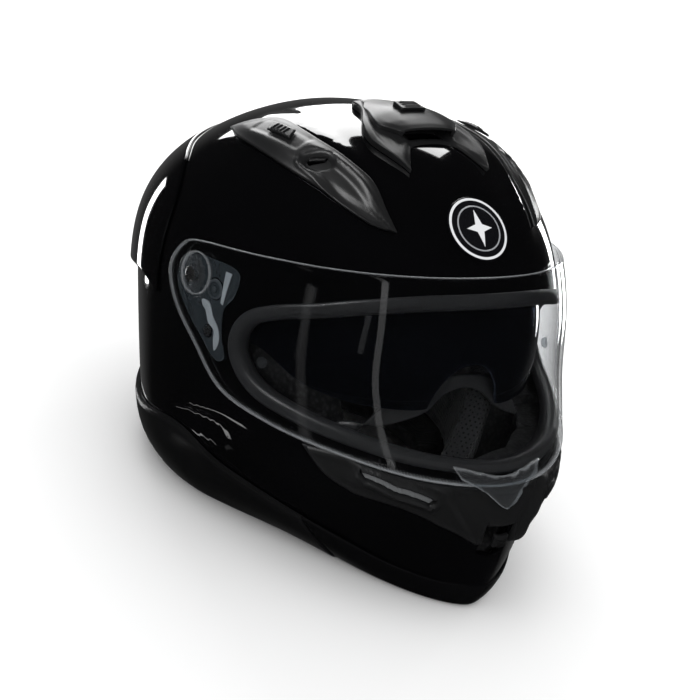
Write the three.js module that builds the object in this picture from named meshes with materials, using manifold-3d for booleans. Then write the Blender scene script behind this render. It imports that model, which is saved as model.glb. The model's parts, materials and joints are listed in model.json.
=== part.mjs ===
// A full-face motorcycle helmet, as an assembly of separate parts, in millimetres.
//
// Every part is drawn in the head frame: origin on the line between the ears, -Y out of the face, +X to the
// wearer's left, +Z out of the crown. The whole group is then tipped so that the lower rim stands on z = 0.
//
// The outer shell is a star-shaped surface round the head frame's origin. A direction is given by lam, its
// angle round the head from the nose (0) towards the left ear (90), and alpha, its angle down from the crown.
// Trims, vents, visor and foam are layers of that same surface, offset along the ray and cut to outline.
import * as THREE from "three";
import { mergeVertices } from "three/addons/utils/BufferGeometryUtils.js";
import Module from "manifold-3d";

const wasm = await Module();
wasm.setup();

// ---- driving dimensions -------------------------------------------------------------------------------
const RIM = { tilt: 16.5, y: -165, z: -169 }; // plane of the lower rim: slope in degrees and a point on it
const CENTRE_Y = -17.68; // tipped head frame's origin to the middle of the helmet's length
const GAP = 0.4; // clearance between neighbouring parts
const SHELL_T = 4.5; // shell wall
const SHELL_LIFT = 4; // shell's lower edge above the rim plane
const FOAM_LIFT = 27; // impact foam's lower edge above the rim plane
const FOAM_SPLIT_Z = 40; // height where the crown piece of foam meets the two side pieces
const VISOR_IN = 3.2; // visor's inner face outside the shell
const VISOR_OUT = 5.6; // visor's outer face outside the shell
const PIVOT = { y: -20, z: 25 }; // visor pivot axis, parallel to X
const VISOR_OPEN = 50; // how far the visor opens, in degrees
const HUB_R = 12; // visor hub
const SUN = { y: -15, z: -5, r: 127, halfWidth: 114, t: 2.2 }; // sun visor: hinge axis and outer surface
const SUN_ROOM = 2.6; // clearance inside the sun visor's sweep
const HEAD = { x: 77, y: 100, top: 87, below: 170, backwards: 8 }; // hollow for the wearer's head
const CROWN_PAD_T = 8;
const CHEEK_PAD_T = 24;
const STRAP = { width: 24, t: 2, y: -38 };
const D_RING = { hinge: 17, length: 27, width: 34, wire: 3.2 };

// Radius of the shell against alpha, in degrees and mm: down the face, down the back and down each side.
const FACE = [[0, 130], [20, 133], [45, 143.5], [64, 152.5], [78, 157.5], [92, 160.5], [105, 168], [113, 187],
  [118, 203], [126, 212], [134, 222.5], [150, 207.5]];
const BACK = [[0, 130], [20, 134], [45, 147], [68, 163], [90, 157], [110, 152], [125, 149], [140, 153],
  [160, 157]];
const SIDE = [[0, 130], [20, 131], [45, 136], [70, 131], [90, 125], [110, 134], [125, 150.5], [140, 155.5],
  [160, 164.5]];
// Level sections are ellipses, and below the eye port the front half draws in to a pointed chin.
const CHIN = { from: 104, to: 131, power: 1.6 };
const LAST_ALPHA = 158;

const RAD = Math.PI / 180;
const sind = (a) => Math.sin(a * RAD);
const cosd = (a) => Math.cos(a * RAD);

// ---- the shell's surface ------------------------------------------------------------------------------
// Cubic spline through the knots, level at the first one and with no curvature at the last.
function spline(knots) {
  const x = knots.map((k) => k[0]);
  const y = knots.map((k) => k[1]);
  const n = x.length;
  const diagonal = [2 * (x[1] - x[0])];
  const upper = [x[1] - x[0]];
  const right = [6 * (y[1] - y[0]) / (x[1] - x[0])];
  for (let i = 1; i < n - 1; i++) {
    const h0 = x[i] - x[i - 1];
    const h1 = x[i + 1] - x[i];
    const w = h0 / diagonal[i - 1];
    diagonal[i] = 2 * (h0 + h1) - w * upper[i - 1];
    upper[i] = h1;
    right[i] = 6 * ((y[i + 1] - y[i]) / h1 - (y[i] - y[i - 1]) / h0) - w * right[i - 1];
  }
  const m = new Array(n).fill(0);
  for (let i = n - 2; i >= 0; i--) m[i] = (right[i] - upper[i] * m[i + 1]) / diagonal[i];
  return (v) => {
    let i = 0;
    while (i < n - 2 && v > x[i + 1]) i++;
    const h = x[i + 1] - x[i];
    const a = (x[i + 1] - v) / h;
    const b = 1 - a;
    return a * y[i] + b * y[i + 1] + ((a ** 3 - a) * m[i] + (b ** 3 - b) * m[i + 1]) * h * h / 6;
  };
}
const face = spline(FACE);
const back = spline(BACK);
const side = spline(SIDE);

function shellRadius(lam, alpha) {
  const a = Math.min(alpha, LAST_ALPHA);
  const c = cosd(lam);
  const pointed = c > 0 ? THREE.MathUtils.smoothstep(alpha, CHIN.from, CHIN.to) : 0;
  const power = 2 + (CHIN.power - 2) * pointed;
  const forward = Math.abs(c) / (c > 0 ? face(a) : back(a));
  const sideways = Math.abs(sind(lam)) / side(a);
  return (forward ** power + sideways ** power) ** (-1 / power);
}

function shellPoint(lam, alpha, offset = 0) {
  const r = shellRadius(lam, alpha) + offset;
  return new THREE.Vector3(r * sind(alpha) * sind(lam), -r * sind(alpha) * cosd(lam), r * cosd(alpha));
}

function shellNormal(lam, alpha) {
  const a = shellPoint(lam + 1, alpha).sub(shellPoint(lam - 1, alpha));
  const b = shellPoint(lam, alpha - 1).sub(shellPoint(lam, alpha + 1));
  return a.cross(b).normalize();
}

// How far out the left side of the shell is at a side-view place.
function sideX(y, z) {
  let inside = 40;
  let outside = 200;
  for (let i = 0; i < 40; i++) {
    const x = (inside + outside) / 2;
    const r = Math.hypot(x, y, z);
    const radius = shellRadius(Math.atan2(x, -y) / RAD, Math.acos(z / r) / RAD);
    if (r < radius) inside = x;
    else outside = x;
  }
  return inside;
}

// ---- solids -------------------------------------------------------------------------------------------
function geometryOf(points, triangles) {
  const g = new THREE.BufferGeometry();
  g.setAttribute("position", new THREE.Float32BufferAttribute(points.flatMap((p) => p.toArray()), 3));
  g.setIndex(triangles.flat());
  return g;
}

function solid(geometry) {
  const bare = geometry.clone();
  bare.deleteAttribute("normal");
  bare.deleteAttribute("uv");
  const merged = mergeVertices(bare, 1e-4);
  return new wasm.Manifold(new wasm.Mesh({
    numProp: 3,
    vertProperties: merged.attributes.position.array,
    triVerts: new Uint32Array(merged.index.array),
  }));
}

function geometryFrom(manifold) {
  const m = manifold.getMesh();
  const g = new THREE.BufferGeometry();
  const places = [];
  for (let i = 0; i < m.numVert; i++) {
    places.push(...m.vertProperties.subarray(i * m.numProp, i * m.numProp + 3));
  }
  g.setAttribute("position", new THREE.Float32BufferAttribute(places, 3));
  g.setIndex(Array.from(m.triVerts));
  g.computeVertexNormals();
  return g;
}

// A closed surface round the origin: radial(lam, alpha) gives its points. Its facets match, left and right.
const COLUMNS = 28;
const ROWS = 18;
function globe(radial, columns = COLUMNS, rows = ROWS) {
  const points = [radial(0, 0)];
  for (let row = 1; row < rows; row++) {
    for (let column = 0; column < columns; column++) {
      points.push(radial(column * 360 / columns, row * 180 / rows));
    }
  }
  points.push(radial(0, 180));
  const at = (row, column) => 1 + (row - 1) * columns + (column % columns);
  const triangles = [];
  for (let column = 0; column < columns; column++) {
    triangles.push([0, at(1, column), at(1, column + 1)]);
    for (let row = 1; row < rows - 1; row++) {
      const [a, b] = [at(row, column), at(row, column + 1)];
      const [c, d] = [at(row + 1, column), at(row + 1, column + 1)];
      triangles.push(...(column < columns / 2 ? [[a, c, d], [a, d, b]] : [[a, c, b], [b, c, d]]));
    }
    triangles.push([at(rows - 1, column), points.length - 1, at(rows - 1, column + 1)]);
  }
  return solid(geometryOf(points, triangles));
}

// Everything inside the shell's outer face moved out by offset, and a layer between two offsets.
const wholes = new Map();
function whole(offset) {
  if (!wholes.has(offset)) {
    wholes.set(offset, globe((lam, alpha) => shellPoint(alpha > 179 ? 90 : lam, alpha, offset)));
  }
  return wholes.get(offset);
}
const layer = (inner, outer) => whole(outer).subtract(whole(inner));

// An ellipsoid with a half of its own below its middle.
function egg(x, y, top, below, centre) {
  return globe((lam, alpha) => {
    const height = cosd(alpha) * (alpha < 90 ? top : below);
    return new THREE.Vector3(x * sind(alpha) * sind(lam), -y * sind(alpha) * cosd(lam), height).add(centre);
  }, 24, 14);
}
const headForm = (grow) => egg(HEAD.x + grow, HEAD.y + grow, HEAD.top + grow, HEAD.below + grow,
  new THREE.Vector3(0, HEAD.backwards, 0));
const sunForm = (grow) => egg(SUN.halfWidth + grow, SUN.r + grow, SUN.r + grow, SUN.r + grow,
  new THREE.Vector3(0, SUN.y, SUN.z));

// A prism along X through a side-view outline of [y, z] points.
function sidePrism(outline, x0 = -200, x1 = 200) {
  const shape = new THREE.Shape(outline.map(([y, z]) => new THREE.Vector2(y, z)));
  const g = new THREE.ExtrudeGeometry(shape, { depth: x1 - x0, bevelEnabled: false });
  g.applyMatrix4(new THREE.Matrix4().makeBasis(
    new THREE.Vector3(0, 1, 0), new THREE.Vector3(0, 0, 1), new THREE.Vector3(1, 0, 0)));
  g.translate(x0, 0, 0);
  return solid(g);
}

// A prism upwards through a plan-view outline of [x, y] points.
function planPrism(outline, z0 = 40, z1 = 220) {
  const shape = new THREE.Shape(outline.map(([x, y]) => new THREE.Vector2(x, y)));
  const g = new THREE.ExtrudeGeometry(shape, { depth: z1 - z0, bevelEnabled: false });
  g.translate(0, 0, z0);
  return solid(g);
}

// A wedge from near the origin outwards through an outline of [lam, alpha] points.
function rayPrism(outline, near = 60, far = 280) {
  const flat = outline.map(([lam, alpha]) => new THREE.Vector2(lam, alpha));
  if (THREE.ShapeUtils.isClockWise(flat)) flat.reverse();
  const caps = THREE.ShapeUtils.triangulateShape(flat, []);
  const way = (p) => new THREE.Vector3(sind(p.y) * sind(p.x), -sind(p.y) * cosd(p.x), cosd(p.y));
  const ray = (p, r) => way(p).multiplyScalar(r);
  const n = flat.length;
  const points = [...flat.map((p) => ray(p, near)), ...flat.map((p) => ray(p, far))];
  const triangles = [];
  for (const [a, b, c] of caps) {
    triangles.push([a, b, c]);
    triangles.push([n + c, n + b, n + a]);
  }
  for (let i = 0; i < n; i++) {
    const j = (i + 1) % n;
    triangles.push([i, n + i, j]);
    triangles.push([j, n + i, n + j]);
  }
  return solid(geometryOf(points, triangles));
}

// Moves each point of an open-ended outline outwards by a distance; the two end points stay in line.
function grown(outline, by) {
  return outline.map(([y, z], i) => {
    const [y0, z0] = outline[Math.max(i - 1, 0)];
    const [y1, z1] = outline[Math.min(i + 1, outline.length - 1)];
    const length = Math.hypot(y1 - y0, z1 - z0);
    return [y - (z1 - z0) / length * by, z + (y1 - y0) / length * by];
  });
}

// A closed outline with each side moved inwards by a distance, for a piece that sits in a slot.
function shrunk(outline, by) {
  const points = outline.map(([a, b]) => new THREE.Vector2(a, b));
  const inward = THREE.ShapeUtils.isClockWise(points) ? -by : by;
  return points.map((p, i) => {
    const before = p.clone().sub(points.at(i - 1)).normalize();
    const after = points[(i + 1) % points.length].clone().sub(p).normalize();
    const corner = new THREE.Vector2(-before.y - after.y, before.x + after.x);
    corner.multiplyScalar(inward / (1 + before.dot(after)));
    return [p.x + corner.x, p.y + corner.y];
  });
}

const mirrored = (outline) => outline.map(([a, b]) => [-a, b]);

function block(x0, x1, y0, y1, z0, z1) {
  const g = new THREE.BoxGeometry(x1 - x0, y1 - y0, z1 - z0);
  g.translate((x0 + x1) / 2, (y0 + y1) / 2, (z0 + z1) / 2);
  return solid(g);
}

// A round piece along X at a side-view place, from a list of [x, radius] steps.
function spindle(at, steps, segments = 20) {
  const profile = [new THREE.Vector2(0, steps[0][0]), ...steps.map(([x, r]) => new THREE.Vector2(r, x)),
    new THREE.Vector2(0, steps.at(-1)[0])];
  const g = new THREE.LatheGeometry(profile, segments);
  g.rotateZ(-Math.PI / 2);
  g.translate(0, at.y, at.z);
  return solid(g);
}
const rod = (at, r, x0, x1, segments = 20) => spindle(at, [[x0, r], [x1, r]], segments);

// A slab parallel to the rim plane, between two heights above it.
function rimSlab(low, high) {
  const g = new THREE.BoxGeometry(600, 800, high - low);
  g.translate(0, 0, (high + low) / 2);
  g.rotateX(RIM.tilt * RAD);
  g.translate(0, RIM.y, RIM.z);
  return solid(g);
}
const aboveRim = (lift) => rimSlab(lift, 500);
const rimZ = (y, lift = 0) => RIM.z + Math.tan(RIM.tilt * RAD) * (y - RIM.y) + lift / cosd(RIM.tilt);

// A piece drawn flat (x across, y up, z out of the shell), turned in its own plane and set on the shell.
function onShell(made, lam, alpha, offset, turn = 0) {
  const out = shellNormal(lam, alpha);
  const across = new THREE.Vector3(0, 0, 1).cross(out).normalize();
  const up = new THREE.Vector3().crossVectors(out, across);
  const place = shellPoint(lam, alpha).addScaledVector(out, offset);
  const seat = new THREE.Matrix4().makeBasis(across, up, out).setPosition(place);
  return made.transform(seat.multiply(new THREE.Matrix4().makeRotationZ(turn * RAD)).toArray());
}

const mirror = (made) => made.mirror([1, 0, 0]);

// ---- materials ----------------------------------------------------------------------------------------
const material = (color, roughness, metalness = 0, extra = {}) =>
  new THREE.MeshStandardMaterial({ color, roughness, metalness, ...extra });
const GLOSS = material(0x08080a, 0.08);
const MATT = material(0x1b1c1e, 0.5);
const RUBBER = material(0x121314, 0.7);
const CLEAR = material(0xf2f6f8, 0.04, 0, { transparent: true, opacity: 0.18 });
const SMOKE = material(0x15151c, 0.05, 0, { transparent: true, opacity: 0.85 });
const GREY = material(0x5b6367, 0.45);
const FOAM = material(0x202124, 0.85);
const CLOTH = material(0x17181a, 0.95);
const WEB = material(0x101112, 0.9);
const STEEL = material(0xb9bcc0, 0.28, 1);
const EMBLEM = material(0xe6e9ee, 0.3);

const helmet = new THREE.Group();
function add(name, made, finish) {
  const mesh = new THREE.Mesh(geometryFrom(made), finish);
  mesh.name = name;
  helmet.add(mesh);
}
// The piece is drawn on the wearer's left and repeated on the right.
function addPair(name, made, finish) {
  add(`${name}_left`, made, finish);
  add(`${name}_right`, mirror(made), finish);
}

// ---- outlines -----------------------------------------------------------------------------------------
// Side views, [y, z]. The eye port and the visor run out past the face, so one prism cuts both sides.
const EYE_PORT = [[-230, 27], [-157, 27], [-130, 22], [-105, 16], [-80, 11], [-64, 5], [-55, -5], [-53, -16],
  [-59, -28], [-72, -39], [-100, -50.5], [-130, -60], [-160, -69.5], [-185, -76.5], [-230, -80]];
const VISOR_TOP = [[-230, 41], [-150, 40], [-110, 41], [-70, 43], [-12, 44]];
const VISOR_EAR = [[-3, 40], [7, 27], [6, 17], [-2, 3], [-22, -17]];
const VISOR_BOTTOM = [[-46, -40], [-80, -54], [-124, -67], [-165, -79], [-230, -92]];
const VISOR = [...VISOR_TOP, ...VISOR_EAR, ...VISOR_BOTTOM];
const CHIN_COVER = [...grown(VISOR_BOTTOM, 1.5).slice(2), [-230, -140], [-178, -133], [-170, -114],
  [-153, -99], [-122, -89], [-104, -66]];
const TRIM_TOP = [[200, -48], [120, -54], [57, -68], [-11, -72], [-44, -93], [-82, -114], [-107, -126],
  [-137, -141], [-160, -148], [-230, -150]];
const TRIM_SPLIT_Y = -82;
// Directions, [lam, alpha].
const CHIN_SIDE_SLOT = [[15, 118.2], [31, 114.6], [30, 116.6], [17, 120.4]];
const CHIN_MIDDLE_SLOT = [[-3.4, 121], [3.4, 121], [3.4, 127.5], [-3.4, 127.5]];
const SCOOP = [[23, 64.5], [29, 62.8], [36.8, 58.2], [43.4, 54], [57.7, 47.5], [75, 42], [94, 39],
  [106, 37.2],
  [99, 32], [83, 28], [60, 32.5], [50, 36.5], [41.5, 40.6], [35, 45], [28.5, 51], [25.3, 59]];
const SCOOP_MOUTH = [[52, 41.5], [43, 41], [43, 45], [50.5, 45.5]];
const SPOILER = [[104, 88], [102, 62], [112, 52], [140, 46], [180, 44], [220, 46], [248, 52], [258, 62],
  [256, 88],
  [220, 84], [180, 83], [140, 84]];
// Plan views, [x, y].
const TOP_VENT = [[-31, -107], [-20, -91], [-16, -88], [16, -88], [20, -91], [31, -107], [41, -76], [37, -60],
  [24, -40], [16, -18], [-16, -18], [-24, -40], [-37, -60], [-41, -76]];
const HOOD = [[-21, -77], [21, -77], [29, -64], [18, -30], [-18, -30], [-29, -64]];
const HOOD_MOUTH = [[-17, -92], [17, -92], [16, -68], [-16, -68]];
const HOOD_POCKET = [[-9, -64], [9, -64], [9, -42], [-9, -42]];

// ---- shell and foam -----------------------------------------------------------------------------------
const intakes = [CHIN_SIDE_SLOT, mirrored(CHIN_SIDE_SLOT), CHIN_MIDDLE_SLOT, SCOOP_MOUTH,
  mirrored(SCOOP_MOUTH)]
  .map((outline) => rayPrism(shrunk(outline, 0.4)));
intakes.push(planPrism(shrunk(HOOD_MOUTH, 4)));
const intakeHoles = intakes.reduce((all, hole) => all.add(hole));

const leverPlace = { lam: 84, alpha: 131.5 };
// The lever's cable runs up between shell and foam to the sun visor's hinge.
const cableEnds = [[88, 133, -9], [89, 126, -10], [91, 116, -10], [94, 106, -9], [95, 99, -9],
  [94, 95.5, -9]];
function cable(radius, sides, ends = cableEnds) {
  const places = ends.map(([lam, alpha, offset]) => shellPoint(lam, alpha, offset));
  const route = new THREE.CatmullRomCurve3(places);
  const section = new THREE.Shape(Array.from({ length: sides }, (_, i) => new THREE.Vector2(
    radius * cosd(i * 360 / sides), radius * sind(i * 360 / sides))));
  return solid(new THREE.ExtrudeGeometry(section, { steps: 10, bevelEnabled: false, extrudePath: route }));
}
const cableGroove = cable(3.2, 8, [[88, 140, -9], ...cableEnds.slice(1, -1), [93, 90, -9]]);

function outerShell() {
  const wall = layer(-SHELL_T, 0).intersect(aboveRim(SHELL_LIFT));
  return wall.subtract(sidePrism(EYE_PORT)).subtract(intakeHoles);
}
add("outer_shell", outerShell(), GLOSS);

// Where the raised sun visor goes, the foam stands back to the inside of its sweep.
const sunPocket = sidePrism([[SUN.y, SUN.z - 26], [-230, -90], [-230, 60], [-190, 160], [-60, 160],
  [SUN.y + 12, 118], [SUN.y + 22, SUN.z], [SUN.y + 14, SUN.z - 22]]).subtract(sunForm(-SUN.t - SUN_ROOM));
const bracketRoom = rod(SUN, 15, 103, 130, 16).add(rod(SUN, 15, -130, -103, 16));
const strapNotch = ((top) => block(88, 130, STRAP.y - 14, STRAP.y + 14, -160, top)
  .add(block(-130, -88, STRAP.y - 14, STRAP.y + 14, -160, top)))(rimZ(STRAP.y, 44));
const cheekZone = sidePrism([[-98, -30], [60, -30], [70, -140], [-98, -175]]);

function foamLiner() {
  const foam = whole(-SHELL_T - GAP).intersect(aboveRim(FOAM_LIFT)).subtract(headForm(CROWN_PAD_T + GAP));
  const behindFace = sidePrism([[-230, 230], [200, 230], [200, -140], [-90, -140], [-90, -20], [-74, -2],
    [-84, 20], [-230, 33]]);
  const cheekRoom = cheekZone.intersect(headForm(4 + CHEEK_PAD_T));
  return foam.intersect(behindFace).subtract(sunPocket).subtract(cheekRoom)
    .subtract(cableGroove).subtract(bracketRoom).subtract(strapNotch);
}
const foam = foamLiner();
const foamSplit = block(-200, 200, -300, 300, -300, FOAM_SPLIT_Z - GAP / 2);
const foamSide = foam.intersect(foamSplit).intersect(block(GAP / 2, 200, -300, 300, -300, 300));
add("eps_crown", foam.intersect(block(-200, 200, -300, 300, FOAM_SPLIT_Z + GAP / 2, 300)), FOAM);
addPair("eps_side", foamSide, FOAM);

function chinFoam() {
  const front = sidePrism([[-90 - GAP, -57], [-90 - GAP, -180], [-260, -180], [-260, -94], [-185, -83],
    [-130, -68]]);
  return layer(-27, -SHELL_T - GAP).intersect(front).intersect(aboveRim(12)).subtract(intakeHoles);
}
add("chin_bar_foam", chinFoam(), FOAM);

// ---- comfort lining -----------------------------------------------------------------------------------
const crownZone = sidePrism([[-120, 150], [140, 150], [140, -26], [64, -26], [-20, -22], [-56, 18], [-70, 34],
  [-120, 38]]);
add("crown_pad", headForm(CROWN_PAD_T).subtract(headForm(0)).intersect(crownZone), CLOTH);

const cheekPad = headForm(3.6 + CHEEK_PAD_T).subtract(headForm(3.6))
  .intersect(sidePrism([[-92, -34], [54, -34], [64, -80], [40, -112], [-92, -150]]))
  .intersect(aboveRim(FOAM_LIFT)).intersect(block(20, 140, -200, 200, -200, 0));
addPair("cheek_pad", cheekPad, CLOTH);

const neckZone = sidePrism([[-6, 20], [200, 20], [200, -200], [-6, -200]]);
add("neck_roll", layer(-36, -12.6).intersect(rimSlab(5, FOAM_LIFT - 1)).intersect(neckZone)
  .subtract(headForm(3.2)), CLOTH);

const curtainZone = sidePrism([[-260, -100], [-112, -100], [-112, -260], [-260, -260]]);
add("chin_curtain", layer(-58, -12.6).intersect(rimSlab(5, 8)).intersect(curtainZone), CLOTH);

// ---- eye port seal and breath deflector ---------------------------------------------------------------
function portSeal() {
  const edge = sidePrism(grown(EYE_PORT, 4)).subtract(sidePrism(grown(EYE_PORT, -4.5)));
  const shellEdge = layer(-SHELL_T - GAP, GAP).subtract(sidePrism(grown(EYE_PORT, -GAP)));
  return layer(-SHELL_T - 2, VISOR_IN - 0.7).intersect(edge).subtract(shellEdge);
}
add("eyeport_seal", portSeal(), RUBBER);

const DEFLECTOR = [[-34, 121], [-36, 116], [-24, 113], [-12, 109], [-6, 105], [0, 103.5], [6, 105], [12, 109],
  [24, 113], [36, 116], [34, 121]];
add("breath_deflector", layer(-32, -29).intersect(rayPrism(DEFLECTOR)), RUBBER);

// ---- lower trims --------------------------------------------------------------------------------------
function lowerTrim(zone) {
  const skirt = layer(GAP, 3.4).intersect(sidePrism([...TRIM_TOP, [-230, -260], [200, -260]]));
  const foot = layer(-12, 3.4).intersect(rimSlab(0, SHELL_LIFT - GAP));
  return skirt.add(foot).intersect(aboveRim(0)).intersect(zone);
}
const splitHalf = GAP / 2;
add("lower_trim_rear", lowerTrim(sidePrism([[TRIM_SPLIT_Y + splitHalf, 0], [220, 0], [220, -220],
  [TRIM_SPLIT_Y - 10 + splitHalf, -220]])), MATT);
add("lower_trim_front", lowerTrim(sidePrism([[TRIM_SPLIT_Y - splitHalf, 0],
  [TRIM_SPLIT_Y - 10 - splitHalf, -220],
  [-260, -220], [-260, 0]])), MATT);

// ---- chin vent ----------------------------------------------------------------------------------------
const chinSlots = [CHIN_SIDE_SLOT, mirrored(CHIN_SIDE_SLOT), CHIN_MIDDLE_SLOT]
  .map((outline) => rayPrism(outline));
const chinCover = chinSlots.reduce((cover, slot) => cover.subtract(slot),
  layer(GAP, 3.6).intersect(sidePrism(CHIN_COVER)));
add("chin_vent_cover", chinCover, MATT);
addPair("chin_vent_grille", layer(0.8, 2).intersect(rayPrism(shrunk(CHIN_SIDE_SLOT, 0.22))), GREY);

const CHIN_SLIDER = { lam: 0, alpha: 123.2 };
const chinSliderRibs = block(-4, 4, -3, -1.6, 2, 4).add(block(-4, 4, 1.6, 3, 2, 4));
const chinSliderShape = block(-5, 5, -4, 4, 0, 3).add(chinSliderRibs);
add("chin_vent_slider", onShell(chinSliderShape, CHIN_SLIDER.lam, CHIN_SLIDER.alpha, 1.6), MATT);

// ---- top vent -----------------------------------------------------------------------------------------
function topVent() {
  const cover = layer(GAP, 4).intersect(planPrism(TOP_VENT));
  const hood = layer(3, 10).intersect(planPrism(HOOD));
  const mouth = whole(7.6).intersect(planPrism(HOOD_MOUTH));
  const pocket = planPrism(HOOD_POCKET).subtract(whole(6));
  return cover.add(hood).subtract(mouth).subtract(pocket);
}
add("top_vent_cover", topVent(), MATT);

const topSlider = onShell(block(-8, 8, -5, 5, 0, 3.4).subtract(block(-9, 9, -2.6, -1.2, 2, 4))
  .subtract(block(-9, 9, 1.2, 2.6, 2, 4)), 0, 23.2, 7);
add("top_vent_slider", topSlider, MATT);

// ---- side scoops --------------------------------------------------------------------------------------
const SCOOP_SLIDER = { lam: 70, alpha: 35, turn: 16 };
function sideScoop() {
  const horn = layer(GAP, 5).intersect(rayPrism(SCOOP));
  return horn.subtract(rayPrism(SCOOP_MOUTH));
}
addPair("side_scoop", sideScoop(), MATT);
const scoopSlider = onShell(block(-13, 13, -4.5, 4.5, 0, 2.6).subtract(block(-2.6, -1.2, -5, 5, 1.4, 3))
  .subtract(block(1.2, 2.6, -5, 5, 1.4, 3)), SCOOP_SLIDER.lam, SCOOP_SLIDER.alpha, 5.9, SCOOP_SLIDER.turn);
addPair("side_scoop_slider", scoopSlider, MATT);

// ---- rear spoiler and emblem --------------------------------------------------------------------------
function rearSpoiler() {
  // The spoiler leans away from the shell towards its lower edge, and most at the back.
  const lean = (lam, alpha) => 2 + 8 * Math.max(0, -cosd(lam)) * Math.min(1, Math.max(0, (alpha - 46) / 40));
  const outer = globe((lam, alpha) => shellPoint(alpha > 179 ? 90 : lam, alpha, lean(lam, alpha)));
  return outer.subtract(whole(GAP)).intersect(rayPrism(SPOILER));
}
add("rear_spoiler", rearSpoiler(), GLOSS);

const emblemShape = spindle({ y: 0, z: 0 }, [[0, 22], [1.4, 22], [1.8, 21]], 28).transform(
  new THREE.Matrix4().makeRotationY(-Math.PI / 2).toArray());
add("brow_emblem", onShell(emblemShape, 0, 63.6, 1.4), EMBLEM);

// ---- visor --------------------------------------------------------------------------------------------
const hubX = sideX(PIVOT.y, PIVOT.z);
const visorHubHole = rod(PIVOT, HUB_R + GAP, -200, 200);
add("visor", layer(VISOR_IN, VISOR_OUT).intersect(sidePrism(VISOR)).subtract(visorHubHole), CLEAR);

// Toothed hub, with a bore for the pivot screw.
function visorHub() {
  const shape = new THREE.Shape();
  const teeth = 12;
  for (let i = 0; i < teeth; i++) {
    for (const [turn, r] of [[-0.34, HUB_R - 1.2], [-0.2, HUB_R], [0.2, HUB_R], [0.34, HUB_R - 1.2]]) {
      const a = (i + turn) / teeth * 2 * Math.PI;
      if (shape.curves.length || shape.currentPoint.length()) shape.lineTo(r * Math.cos(a), r * Math.sin(a));
      else shape.moveTo(r * Math.cos(a), r * Math.sin(a));
    }
  }
  shape.closePath();
  shape.holes.push(new THREE.Path().absarc(0, 0, 3.4, 0, 2 * Math.PI, true));
  const g = new THREE.ExtrudeGeometry(shape, { depth: 3, bevelEnabled: false, curveSegments: 6 });
  g.applyMatrix4(new THREE.Matrix4().makeBasis(
    new THREE.Vector3(0, 1, 0), new THREE.Vector3(0, 0, 1), new THREE.Vector3(1, 0, 0)));
  g.translate(hubX + 3.4, PIVOT.y, PIVOT.z);
  return solid(g);
}
addPair("visor_hub", visorHub(), CLEAR);
addPair("visor_pivot_screw", spindle(PIVOT, [[hubX + 2.9, 3], [hubX + 6.8, 3], [hubX + 6.8, 5.4],
  [hubX + 8.2, 5]], 12), STEEL);

const VISOR_BASE = [[-10, 36], [-1, 33], [3, 25], [1, 14], [-8, 2], [-24, -13], [-40, -26], [-46, -24],
  [-43, -10],
  [-44, 6], [-52, 16], [-54, 30], [-30, 36]];
const BASE_SCREW = { y: -31, z: -9, r: 3.6 };
const RELEASE_CAM = { y: -36, z: 18, r: 6.5 };
const BASE_TOP = 2; // face of the mechanism plate outside the shell

// The space that the visor's ear sweeps as the visor opens, cut from the plate beneath it.
const ear = layer(VISOR_IN - GAP, VISOR_OUT).intersect(sidePrism(VISOR, 60, 200));
function visorSweep() {
  const turned = (degrees) => {
    const about = new THREE.Matrix4().makeTranslation(0, PIVOT.y, PIVOT.z)
      .multiply(new THREE.Matrix4().makeRotationX(-degrees * RAD))
      .multiply(new THREE.Matrix4().makeTranslation(0, -PIVOT.y, -PIVOT.z));
    return ear.transform(about.toArray());
  };
  return turned(VISOR_OPEN * 0.4).add(turned(VISOR_OPEN * 0.7)).add(turned(VISOR_OPEN));
}
addPair("visor_base", layer(GAP, BASE_TOP).intersect(sidePrism(VISOR_BASE, 60, 200)).subtract(visorSweep())
  .subtract(rod(BASE_SCREW, BASE_SCREW.r + GAP, 60, 200, 14))
  .subtract(rod(RELEASE_CAM, RELEASE_CAM.r + GAP * 2, 60, 200, 14)), GREY);
const baseRod = (at) => rod(at, at.r, 60, 200, 14);
addPair("visor_base_screw", layer(GAP, BASE_TOP - 0.2).intersect(baseRod(BASE_SCREW)), STEEL);
addPair("visor_release_cam", layer(GAP * 2, BASE_TOP).intersect(baseRod(RELEASE_CAM)), GREY);

const LOCK_TAB = [[-9, 109.5], [-4, 111.5], [4, 111.5], [9, 109.5], [5, 114.5], [0, 116.5], [-5, 114.5]];
add("visor_lock_tab", layer(VISOR_OUT + GAP, VISOR_OUT + 3.4).intersect(rayPrism(LOCK_TAB)), CLEAR);
const pinAt = { lam: 56, alpha: 99 };
addPair("antifog_pin", onShell(spindle({ y: 0, z: 0 }, [[0, 2.8], [1.2, 3.6], [2.6, 3.6]], 12).transform(
  new THREE.Matrix4().makeRotationY(-Math.PI / 2).toArray()), pinAt.lam, pinAt.alpha, -0.6), CLEAR);

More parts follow.
